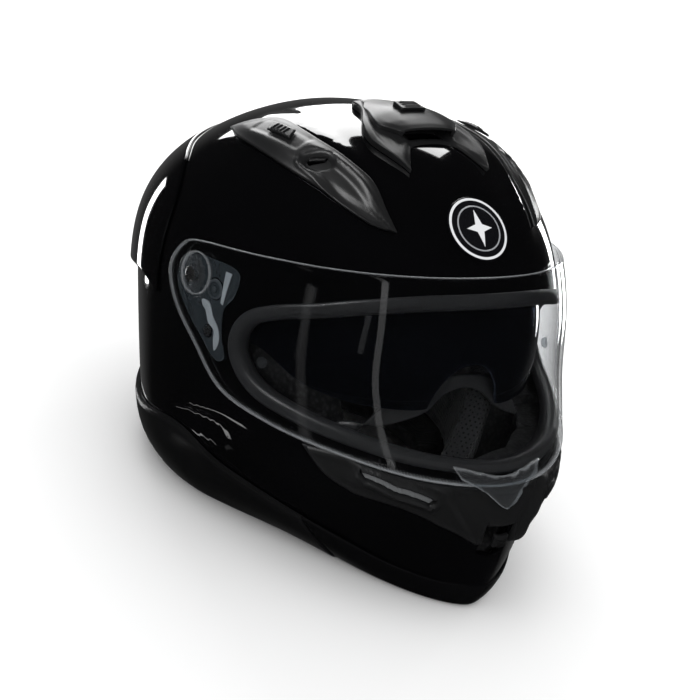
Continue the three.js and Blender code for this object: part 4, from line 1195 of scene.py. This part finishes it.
base = plate(side_uv(rounded(VISOR_BASE, per=6)), base_top, GAP,
             [side_uv(circle(BASE_SCREW, 4.0, 24)), side_uv(circle(CAM, 7.0, 28))], step=0.7, edge=0.4,
             spacing=1.6, hole_spacing=1.2)
LINK_BAR = [(-49, 29), (-44, 30), (-41.5, 10), (-43.5, 9)]
LINK_ARM = [(-25, 10), (-32, 9), (-35.5, 1), (-40.5, -6), (-41.5, -14), (-38, -20), (-36.5, -14),
            (-36.5, -7.5), (-31.5, -3.5), (-28.5, 4), (-26, 6)]
for outline, corners, top, low in ((LINK_ARM, (), 2.0, 1.15), (LINK_BAR, (0, 1, 2, 3), 1.95, 1.1)):
    plate(side_uv(rounded(outline, corners, per=6)), top, low, step=0.6, edge=0.3, spacing=1.0, shape=base,
          slot=1)
make_pair("visor_base", base, [GREY, LINK], "visor_base", sharp=50)
screw_x = side_points([BASE_SCREW])[0, 0]
base_screw = lathe([(0, 0.6), (3.5, 0.6), (3.6, 1.6), (3.1, 2.1), (1.4, 2.2), (1.2, 1.4), (0, 1.4)],
                   np.array([screw_x, *BASE_SCREW]), side_points([BASE_SCREW])[0] * [1, 0.25, 0], 32)
make_pair("visor_base_screw", base_screw, STEEL, "visor_base_screw", weld=0.01)
cam_at = side_points([CAM])
cam = lathe([(0, 0.9), (6.3, 0.9), (6.5, 1.3), (6.2, 1.7), (4.6, 1.8), (4.3, 1.3), (2.4, 1.3), (2.0, 2.0),
             (0, 2.0)], cam_at[0], surface_normals(shell_point, side_uv([CAM]), as_function(0))[0], 48)
make_pair("release_cam", cam, GREY, "visor_release_cam", body="release_cam_{}", weld=0.01)

LOCK_TAB = [(-11, 112.2), (-5, 112.9), (0, 113.4), (5, 112.9), (11, 112.2), (9.4, 113.8), (4.2, 115.6),
            (0, 117.6), (-4.2, 115.6), (-9.4, 113.8)]


def tab_top(uv):
    lam, alpha = angles(uv)
    x = np.degrees(np.abs(lam))
    facet = np.abs((x * 0.55 + alpha * 1.1) % 1.5 - 0.75)
    return 6.4 + 1.9 * facet + 1.2 * smoothstep(x, 0.9, 2.2) - 1.3 * ribs(x, (4.6,), 0.5, 0.3)


tab = plate(rounded(ray_uv(LOCK_TAB), corners=(0, 4, 5, 9)), tab_top, 6.0, step=0.4, edge=0.6, spacing=0.9)
make("visor_lock", tab, CLEAR_THICK, "visor_lock_tab", body="visor_assembly", sharp=45)
pin = Patch(56, 99)
pin_shape = lathe([(0, -0.6), (2.8, -0.6), (2.8, 0.5), (3.6, 0.8), (3.6, 1.7), (3.0, 2.2), (1.6, 2.3),
                   (1.2, 1.7), (0, 1.7)], pin.at, pin.out, 32)
make_pair("antifog_pin", pin_shape, CLEAR_THICK, "antifog_pin", body="visor_assembly", weld=0.01)

# ---- eye port seal --------------------------------------------------------------------------------------
port = resampled(shell_point, PORT_LOOP, 2.6)
if area(port) < 0:
    port = port[::-1]
port_path = shell_point(port)
port_normal = surface_normals(shell_point, port, as_function(0))
along = np.roll(port_path, -1, axis=0) - np.roll(port_path, 1, axis=0)
inward = np.cross(port_normal, along)
inward /= np.linalg.norm(inward, axis=1)[:, None]
SEAL = [(-4.2, 0.45), (-4.1, 1.3), (-3.3, 2.1), (-1.8, 2.55), (0.2, 2.6), (2.2, 2.1), (3.9, 1.0), (5.0, -0.8),
        (5.4, -3.2), (5.0, -6.4), (4.0, -9.2), (2.9, -9.6), (2.2, -8.4), (1.4, -6.6), (0.2, -6.3),
        (-3.4, -6.3), (-3.6, -5.6), (-3.2, -5.0), (0.2, -4.95), (0.35, -4.6), (0.35, 0.1), (0.1, 0.42)]
seal = sweep(port_path, inward, port_normal, SEAL)
make("eyeport_seal", seal, RUBBER, "eyeport_seal", sharp=55)

DEFLECTOR = [(-34, 121), (-36, 116), (-24, 113), (-12, 109), (-6, 105), (0, 103.5), (6, 105), (12, 109),
             (24, 113), (36, 116), (34, 121)]


def flap_top(uv):
    lam, alpha = angles(uv)
    x = np.degrees(lam)
    nose = np.exp(-(x / 7) ** 2) * smoothstep(alpha, 118, 106)
    return -29.2 + nose - 0.5 * ribs(alpha, (118.6,), 0.4, 0.4)


flap = plate(rounded(ray_uv(DEFLECTOR), corners=(0, 10)), flap_top, -31.6, step=0.8, edge=0.9, spacing=1.6)
make("breath_deflector", flap, RUBBER, "breath_deflector", sharp=50)


# ---- sun visor ------------------------------------------------------------------------------------------
def egg(centre, x, y, top, below):
    """An ellipsoid's surface in the same chart, with a lower half of its own."""
    def at(uv, off=0.0):
        lam, alpha = angles(uv)
        a = np.radians(alpha)
        height = np.where(alpha < 90, top, below) + off
        return np.stack([(x + off) * np.sin(a) * np.sin(lam), -(y + off) * np.sin(a) * np.cos(lam),
                         np.cos(a) * height], -1) + np.array(centre)
    return at


SUN_R, SUN_HALF, SUN_T = 127.0, 114.0, 2.2
sun_surface = egg((0, *SUN_AT), SUN_HALF, SUN_R, SUN_R, SUN_R)


def sun_uv(p):
    """Chart place of a point on the sun visor's ellipsoid."""
    q = (p - [0, *SUN_AT]) / [SUN_HALF, SUN_R, SUN_R]
    return uv_of_direction(q)


def on_sun_side(yz):
    yz = np.asarray(yz, float)
    q = 1 - ((yz - SUN_AT) ** 2).sum(1) / SUN_R ** 2
    return q, np.c_[SUN_HALF * np.sqrt(np.maximum(q, 0)), yz]


def sun_outline():
    half = rounded([(-160, 46), (-100, 50), (-60, 26), (-19, 6), (-7, 3), (-4, -5), (-7, -13), (-19, -17),
                    (-60, -14), (-90, -34), (-120, -44), (-160, -46)], closed=False, per=40)
    q, side = on_sun_side(half)
    side = side[q > 1e-4]
    top = side[0] * [0, 1, 1]
    low = np.arange(len(side)) > len(side) // 2
    side = side[~(low & (side[:, 0] < 27.2))]
    t = np.linspace(math.radians(12), math.pi / 2, 24)
    x, z = 27 * np.cos(t), -52 + 36 * np.sin(t)
    y = SUN_AT[0] - SUN_R * np.sqrt(1 - (x / SUN_HALF) ** 2 - ((z - SUN_AT[1]) / SUN_R) ** 2)
    arch = np.c_[x, y, z]
    left = sun_uv(np.vstack([top, side, arch]))
    left[0, 0] = left[-1, 0] = 0.0
    return np.vstack([left, (left * [-1, 1])[::-1][1:-1]])


sun_hole = sun_uv(on_sun_side(circle(SUN_AT, 3.6, 28))[1])
sun_lens = plate(sun_outline(), 0.0, -SUN_T, [sun_hole, mirrored(sun_hole)], surface=sun_surface, step=1.6,
                 edge=0.5, spacing=2.0, hole_spacing=1.0)
make("sun_visor", sun_lens, SMOKE, "sun_visor", body="sun_visor_lens", sharp=60)
bracket = lathe([(0, -5.5), (3.0, -5.5), (3.0, 0.9), (8.6, 0.9), (9.0, 1.3), (9.0, 2.6), (8.5, 3.0),
                 (4.0, 3.0), (3.6, 2.2), (0, 2.2)], np.array([SUN_HALF, *SUN_AT]), axis_x, 48)
make_pair("sun_visor_bracket", bracket, STEEL, "sun_visor_bracket", weld=0.01)

lever_place = Patch(84, 131.5)


def lever_top(uv):
    x, y = lever_place.local(uv)
    ridges = 0.9 * ribs(x, (-3.4, 0, 3.4), 0.55) * smoothstep(4 - np.abs(y), 0, 0.8)
    return 7.6 + 0.9 * smoothstep(np.abs(x), 6, 10) + ridges


lever = plate(lever_place.uv(box(10.8, 4.3)), lever_top, 5.0,
              step=0.4, edge=0.9, spacing=1.0)
make("sun_visor_lever", lever, MATT, "sun_visor_lever", body="sun_lever", sharp=50)

# ---- lining ---------------------------------------------------------------------------------------------
head_form = egg((0, 8, 0), 77, 100, 87, 170)
SWELL_FRAMES, AIR_PRESSURE, PAD_STIFFNESS = 20, 4.0, 12
SEAM_DEPTH, SEAM_WIDTH = 1.6, 2.2


def flat_floor(uv, off=0.0):
    """A plane level with the lower rim, in plan-view points of the head frame."""
    z = (off - CENTRE[2] + math.sin(TILT) * uv[:, 1]) / math.cos(TILT)
    return np.stack([uv[:, 0], uv[:, 1], z + 0 * uv[:, 0]], -1)


def chart_region(surface, allowed, centre, count=120, far=175.0, step=1.0):
    """Outline of the part of a surface around a chart point where allowed(points) holds."""
    way = ellipse(1, 1, count)
    reach = np.zeros(count)
    going = np.ones(count, bool)
    while going.any() and reach.max() < far:
        going &= allowed(surface(centre + way * (reach + step)[:, None]))
        reach = np.where(going, reach + step, reach)
    low, high = reach, reach + step
    for _ in range(16):
        mid = (low + high) / 2
        ok = allowed(surface(centre + way * mid[:, None]))
        low, high = np.where(ok, mid, low), np.where(ok, high, mid)
    return centre + way * low[:, None]


def applied(obj):
    mesh = bpy.data.meshes.new_from_object(obj.evaluated_get(bpy.context.evaluated_depsgraph_get()))
    obj.modifiers.clear()
    obj.data = mesh
    return np.array([v.co for v in mesh.vertices])


def puffed(obj, voxel, cap, seams):
    """Remesh the pad evenly, swell it with air, hold each point near its start, smooth it, draw the seams."""
    remesh = obj.modifiers.new("even", "REMESH")
    remesh.mode = "VOXEL"
    remesh.voxel_size = voxel / 1000
    start = applied(obj)
    air = obj.modifiers.new("air", "CLOTH")
    air.settings.use_pressure = True
    air.settings.uniform_pressure_force = AIR_PRESSURE
    air.settings.effector_weights.gravity = 0.0
    air.settings.quality = 5
    air.settings.mass = 0.25
    air.settings.tension_stiffness = air.settings.compression_stiffness = PAD_STIFFNESS
    air.point_cache.frame_start, air.point_cache.frame_end = 1, SWELL_FRAMES
    for f in range(1, SWELL_FRAMES + 1):
        bpy.context.scene.frame_set(f)
    end = applied(obj)
    bpy.context.scene.frame_set(1)
    move = end - start
    far = np.linalg.norm(move, axis=1, keepdims=True)
    start = start + move * np.minimum(1, cap / 1000 / np.maximum(far, 1e-9))
    obj.data.vertices.foreach_set("co", start.ravel())
    smooth = obj.modifiers.new("smooth", "SUBSURF")
    smooth.levels = smooth.render_levels = 1
    at = applied(obj)
    near = nearest_distance(at, to_row(np.vstack(seams))) * 1000
    way = np.array([v.normal for v in obj.data.vertices])
    at = at - way * (SEAM_DEPTH / 1000 * np.exp(-(near / SEAM_WIDTH) ** 2))[:, None]
    obj.data.vertices.foreach_set("co", at.ravel())
    obj.data.polygons.foreach_set("use_smooth", [True] * len(obj.data.polygons))
    obj.data.update()


def seam_line(surface, uv, off, closed=False):
    return surface(resampled(surface, np.asarray(uv, float), 1.0, closed), off)


CROWN_ZONE = np.array([(-118, 150), (138, 150), (138, -24), (64, -24), (-18, -20), (-54, 19), (-68, 35),
                       (-118, 39)], float)
crown_loop = chart_region(head_form, lambda p: within_loop(p[:, 1:], CROWN_ZONE), np.array([0.0, 20.0]))
crown = plate(crown_loop, 6.3, 1.4, surface=head_form, step=2.5, edge=2.0, spacing=3.0)
crown_pad = make("crown_pad", crown, KNIT, "crown_pad")
crown_seams = [seam_line(head_form, inset(crown_loop, 8.0), 1.0, True),
               seam_line(head_form, [(u, 8 + 0.01 * u * u) for u in range(-60, 62, 4)], 1.0)]
for k in (-1, 1):
    bowed = [(k * 24 + 6 * k * math.cos(v / 40), v) for v in range(-52, 92, 4)]
    crown_seams.append(seam_line(head_form, bowed, 1.0))
puffed(crown_pad, 3.2, 1.6, seams=crown_seams)

CHEEK_ZONE = np.array([(-90, -36), (52, -36), (62, -80), (38, -110), (-90, -146)], float)
CHEEK_MID = 15.6  # off the head's form, in mm
CHEEK_LOW = 0.0305  # over the rim's foot, in m
CHEEK_INNER = 22  # from the middle plane, in mm


def cheek_allowed(p):
    return within_loop(p[:, 1:], CHEEK_ZONE) & (to_row(p)[:, 2] > CHEEK_LOW) & (p[:, 0] > CHEEK_INNER)


def cheek_surface(uv, off=0.0):
    return head_form(uv, off + CHEEK_MID)


cheek_loop = chart_region(cheek_surface, cheek_allowed, ray_uv([(80, 112)])[0], count=160)
cheek = plate(cheek_loop, 10.0, -9.0, surface=cheek_surface, step=3.0, edge=5.0, spacing=3.0, rounds=4)
cheek_seams = [seam_line(cheek_surface, inset(cheek_loop, 3.0), off, True) for off in (-10.5, 10.5)]
cheek_seams.append(seam_line(cheek_surface, ray_uv([(38, 104), (62, 113), (96, 113), (118, 106)]), -11.0))
for tag, sign in (("left", 1), ("right", -1)):
    pad = make(f"cheek_pad_{tag}", cheek if sign > 0 else cheek.mirror(), KNIT, f"cheek_pad_{tag}")
    puffed(pad, 4.0, 2.2, seams=[s * [sign, 1, 1] for s in cheek_seams])

lams = np.arange(0, 360, 2.0)


def offset_curve(height, off):
    return shell_point(polar(lams, along_lams(at_height(height, off), lams)), off)[:, :2]


def band(height, outer, inner, keep):
    """Plan outline of the part of a ring, between two offsets from the shell, where keep(points) holds."""
    out, into = offset_curve(height, outer), offset_curve(height, inner)
    roll = int(np.argmin(np.where(keep(out), 1, 0)))
    out, into = np.roll(out, -roll, axis=0), np.roll(into, -roll, axis=0)
    return np.vstack([out[keep(out)], into[keep(into)][::-1]])


neck = plate(band(15, -14.5, -34, lambda q: q[:, 1] > -3), 23.0, 8.0, surface=flat_floor, step=3.0, edge=4.5,
             spacing=3.0, rounds=4)
neck_roll = make("neck_roll", neck, CLOTH, "neck_roll")
neck_seam = [np.c_[q, flat_floor(q, z)[:, 2]] for q, z in
             ((resampled(flat_floor, band(15, -20, -21, lambda q: q[:, 1] > 4), 1.0), 24.5),
              (resampled(flat_floor, band(15, -24, -25, lambda q: q[:, 1] > 4), 1.0), 7.5))]
puffed(neck_roll, 4.0, 1.4, seams=neck_seam)

curtain_loop = band(6.5, -13.4, -57, lambda q: q[:, 1] < -113)


def rippled(off):
    return lambda uv: off + 0.35 * np.sin(uv[:, 0] / 7) * np.cos(uv[:, 1] / 11)


curtain = plate(curtain_loop, rippled(6.9), rippled(6.1), surface=flat_floor, step=2.5, edge=0.3, spacing=2.5)
chin_curtain = make("chin_curtain", curtain, CLOTH, "chin_curtain")
span = np.ptp(resampled(flat_floor, curtain_loop, 2.0), axis=0)

PLAIN_NODES = {"eps_crown": FOAM, "eps_side_left": FOAM, "eps_side_right": FOAM, "chin_bar_foam": FOAM,
               "sun_visor_cable": RUBBER}
for node, material in PLAIN_NODES.items():
    bpy.data.objects[node].data.materials.clear()
    bpy.data.objects[node].data.materials.append(material)

# ---- chin strap -----------------------------------------------------------------------------------------
STRAP_Y, STRAP_W, STRAP_T = -38.0, 24.0, 2.0
RING_HINGE, RING_LENGTH, RING_WIDTH, RING_WIRE = 17.0, 27.0, 34.0, 3.2
TO_LINER, TO_STRAP = 4.5, 9.6  # inwards from the shell's face to its inner side, and on to the strap


def rim_z(y, height):
    return (height - CENTRE[2] + math.sin(TILT) * y) / math.cos(TILT)


strap_low, strap_top = rim_z(STRAP_Y, 18), rim_z(STRAP_Y, 36)
strap_wall = side_points([(STRAP_Y - STRAP_W / 2, strap_top)])[0, 0] - TO_LINER - TO_STRAP


def strap_piece(tag, end, sign):
    midline = rounded([(strap_wall, strap_top + 6), (strap_wall, strap_top - 6),
                       (strap_wall - 5, strap_top - 14), (strap_wall - 22, strap_low + 2),
                       (44, strap_low + 1), (end, strap_low)], closed=False, per=10)
    path = np.c_[midline[:, 0], np.full(len(midline), STRAP_Y), midline[:, 1]]
    along = np.gradient(path, axis=0)
    along /= np.linalg.norm(along, axis=1)[:, None]
    up_way = np.cross(along, [0, 1.0, 0])
    half, t = STRAP_W / 2, STRAP_T / 2
    section = [(half - 0.5, t), (half, t - 0.5), (half, 0.5 - t), (half - 0.5, -t)]
    for k in range(8, -9, -1):
        section.append((k * (half - 1.2) / 8, -t + 0.1 * (k % 2)))
    section += [(0.5 - half, -t), (-half, 0.5 - t), (-half, t - 0.5), (0.5 - half, t)]
    for k in range(-8, 9):
        section.append((k * (half - 1.2) / 8, t - 0.1 * (k % 2)))
    shape = sweep(path, np.tile([0, 1.0, 0], (len(path), 1)), up_way, section, closed=False)
    far = np.r_[0, np.cumsum(np.linalg.norm(np.diff(path, axis=0), axis=1))]
    stitched = (end + 1.5, end + 13.5)
    wide = half - 2.2

    def stitch(points):
        line = np.array([(x, STRAP_Y + y, np.interp(x, midline[::-1, 0], midline[::-1, 1]) - t - 0.02)
                         for x, y in points])
        across, up_one = frames_along(line, [0, 0, 1.0], closed=False)
        sweep(line, across, up_one, ellipse(0.45, 0.3, 8), closed=False, shape=shape, slot=1)

    for y in (-wide, wide):
        stitch([(x, y) for x in np.linspace(*stitched, 12)])
    for x in stitched:
        stitch([(x, y) for y in np.linspace(-wide, wide, 12)])
    if sign < 0:
        shape = shape.mirror()
    obj = make(f"strap_{tag}", shape, [WEB, THREAD], f"strap_{tag}", sharp=60)
    layer_uv = obj.data.uv_layers.new(name="tape")
    m = len(section)
    u = np.array([q[0] for q in section]) / 1000
    grid = np.zeros((len(obj.data.vertices), 2))
    grid[:m * len(path)] = np.c_[np.tile(u, len(path)), np.repeat(far / 1000, m)]
    index = np.zeros(len(obj.data.loops), int)
    obj.data.loops.foreach_get("vertex_index", index)
    layer_uv.data.foreach_set("uv", grid[index].ravel())


strap_piece("left", RING_HINGE + 2.4, 1)
strap_piece("right", RING_LENGTH - RING_HINGE + 2.4, -1)
rivet = lathe([(0, -3.1), (3.6, -3.1), (4.5, -2.6), (4.8, -1.5), (2.4, -1.4), (2.4, 2.3), (0, 2.3)],
              np.array([strap_wall, STRAP_Y, strap_top]), axis_x, 36)
make_pair("strap_rivet", rivet, STEEL, "strap_rivet", weld=0.01)


def ring_shape(height):
    """Bent wire: a straight bar at the hinge and a half-round bow."""
    w = RING_WIRE / 2
    h, r = RING_HINGE - w, RING_WIDTH / 2 - w
    far = RING_HINGE - RING_LENGTH + RING_WIDTH / 2
    bar = [(h - 1.5, r), (h - 0.45, r - 0.45), (h, r - 1.5)] + [(h, v) for v in np.linspace(r - 3, 3 - r, 10)]
    bar += [(h, 1.5 - r), (h - 0.45, 0.45 - r), (h - 1.5, -r)]
    turn = np.linspace(-math.pi / 2, -1.5 * math.pi, 30)
    bow = [(far + r * math.cos(a), r * math.sin(a)) for a in turn]
    path = np.array([(x, STRAP_Y + y, strap_low + height + w) for x, y in bar + bow])
    across, up_way = frames_along(path, [0, 0, 1.0])
    return sweep(path, across, up_way, ellipse(w * 0.98, w * 0.98, 16))


make("d_ring_upper", ring_shape(STRAP_T / 2 + GAP), STEEL, "d_ring_upper", body="ring_upper", sharp=60)
make("d_ring_lower", ring_shape(-STRAP_T / 2 - GAP - RING_WIRE), STEEL, "d_ring_lower", body="ring_lower",
     sharp=60)


# ---- camera, light and floor ----------------------------------------------------------------------------
VIEW_YAW, VIEW_PITCH, VIEW_ROLL = math.radians(-35.7), math.radians(9.8), math.radians(3.8)
VIEW_FAR = 1722.0  # camera to the head frame's origin
LENS = 135.26
OFF_CENTRE = (0.0026615970, -0.0196197719)  # how far the view's middle looks past the origin, as slopes


def aimed(toward_eye, right, up, place):
    """A rotation matrix whose columns are the three directions, with a place: all in the head frame."""
    columns = np.stack([turn_row(v) for v in (right, up, toward_eye)], -1)
    made = Matrix([list(row) for row in columns]).to_4x4()
    made.translation = Vector(to_row(place))
    return made


def view_frame():
    eye = np.array([math.sin(VIEW_YAW) * math.cos(VIEW_PITCH), -math.cos(VIEW_YAW) * math.cos(VIEW_PITCH),
                    math.sin(VIEW_PITCH)])
    right = np.array([math.cos(VIEW_YAW), math.sin(VIEW_YAW), 0.0])
    up = np.cross(eye, right)
    c, s = math.cos(VIEW_ROLL), math.sin(VIEW_ROLL)
    right, up = c * right + s * up, -s * right + c * up
    place = eye * VIEW_FAR
    look = -eye + right * OFF_CENTRE[0] + up * OFF_CENTRE[1]
    look /= np.linalg.norm(look)
    right = right - look * (right @ look)
    right /= np.linalg.norm(right)
    return place, -look, right, np.cross(-look, right)


place, toward_eye, right, up = view_frame()
camera = bpy.data.objects.new("camera", bpy.data.cameras.new("camera"))
bpy.context.scene.collection.objects.link(camera)
camera.data.lens = LENS
camera.data.sensor_width = 36.0
camera.data.clip_end = 50.0
camera.matrix_world = aimed(toward_eye, right, up, place)
bpy.context.scene.camera = camera


def softbox(name, direction, distance, width, height, power):
    """A lamp in a direction given in the camera's terms (right, up, toward the eye), facing the helmet."""
    d = np.array(direction, float)
    d /= np.linalg.norm(d)
    way = turn_row(d[0] * right + d[1] * up + d[2] * toward_eye)
    light = bpy.data.lights.new(name, "AREA")
    light.shape = "RECTANGLE"
    light.size, light.size_y = width, height
    light.energy = power
    obj = bpy.data.objects.new(name, light)
    bpy.context.scene.collection.objects.link(obj)
    at = Vector((0, 0, 0.12)) + Vector(way) * distance
    obj.matrix_world = Matrix.Translation(at) @ Vector(way).to_track_quat("Z", "Y").to_matrix().to_4x4()
    return obj


softbox("top_rear_softbox", (-0.08, 0.79, -0.62), 1.6, 0.85, 1.0, 12)
softbox("top_front_patch", (0.31, 0.85, -0.43), 1.6, 0.3, 0.3, 1.1)
softbox("right_rear_strip", (0.50, 0.22, -0.83), 1.6, 0.2, 0.9, 5)
softbox("left_rear_strip", (-0.62, 0.20, -0.76), 1.6, 0.14, 0.6, 2.0)
softbox("low_left_strip", (-0.90, -0.42, -0.10), 1.5, 0.5, 0.09, 0.22)
softbox("front_strip", (-0.07, -0.12, 0.99), 1.5, 0.09, 1.0, 0.13)
softbox("side_strip", (-0.67, -0.20, 0.71), 1.5, 0.10, 0.8, 0.035)

# A soft light for the matt parts alone, so that it leaves no patch on the gloss shell.
MATT_NAMES = ("chin_vent", "chin_slider", "top_", "side_scoop", "scoop_slider", "breath", "eyeport",
              "cheek_pad", "lower_trim_front")
matt_parts = bpy.data.collections.new("matt_parts")
for piece in bpy.data.objects:
    if piece.name.startswith(MATT_NAMES):
        matt_parts.objects.link(piece)
trim_light = softbox("trim_softbox", (-0.45, 0.72, 0.52), 1.5, 0.5, 0.5, 7)
trim_light.light_linking.receiver_collection = matt_parts

floor = bpy.data.objects.new("floor", bpy.data.meshes.new("floor"))
bm = bmesh.new()
bmesh.ops.create_grid(bm, x_segments=40, y_segments=40, size=8.0)
bm.to_mesh(floor.data)
bm.free()
bpy.context.scene.collection.objects.link(floor)
n = Nodes(bpy.data.materials.new("pale_floor"))
paper = n.mixed(n.noise(3.0), (0.93, 0.93, 0.93), (0.95, 0.95, 0.95))
floor.data.materials.append(n.output(n.principled(Base_Color=paper, Roughness=0.9,
                                                  Specular_IOR_Level=0.1).outputs[0]))
floor.visible_glossy = False
floor.location.z = -0.0002

BRIGHT = 1.1
DIM_AROUND, DIM_BEHIND = 0.006, 0.07  # what a gloss surface sees of the dark studio, and of its far wall
world = bpy.data.worlds.new("studio")
bpy.context.scene.world = world
n = Nodes(world)
ahead = n.add("ShaderNodeVectorMath", {0: n.place.node.outputs["Generated"], 1: tuple(turn_row(-toward_eye))},
              operation="DOT_PRODUCT").outputs["Value"]
strength = n.add("ShaderNodeMapRange", {"Value": ahead, "From Min": 0.72, "From Max": 1.0,
                                        "To Min": DIM_AROUND, "To Max": DIM_BEHIND},
                 interpolation_type="SMOOTHSTEP").outputs["Result"]
bright, dim = [n.add("ShaderNodeBackground", {0: (1, 1, 1, 1), 1: level}).outputs[0]
               for level in (BRIGHT, strength)]
glossy = n.add("ShaderNodeLightPath").outputs["Is Glossy Ray"]
n.output(n.add("ShaderNodeMixShader", {0: glossy, 1: bright, 2: dim}).outputs[0], "ShaderNodeOutputWorld")
bpy.context.scene.view_settings.view_transform = "Standard"
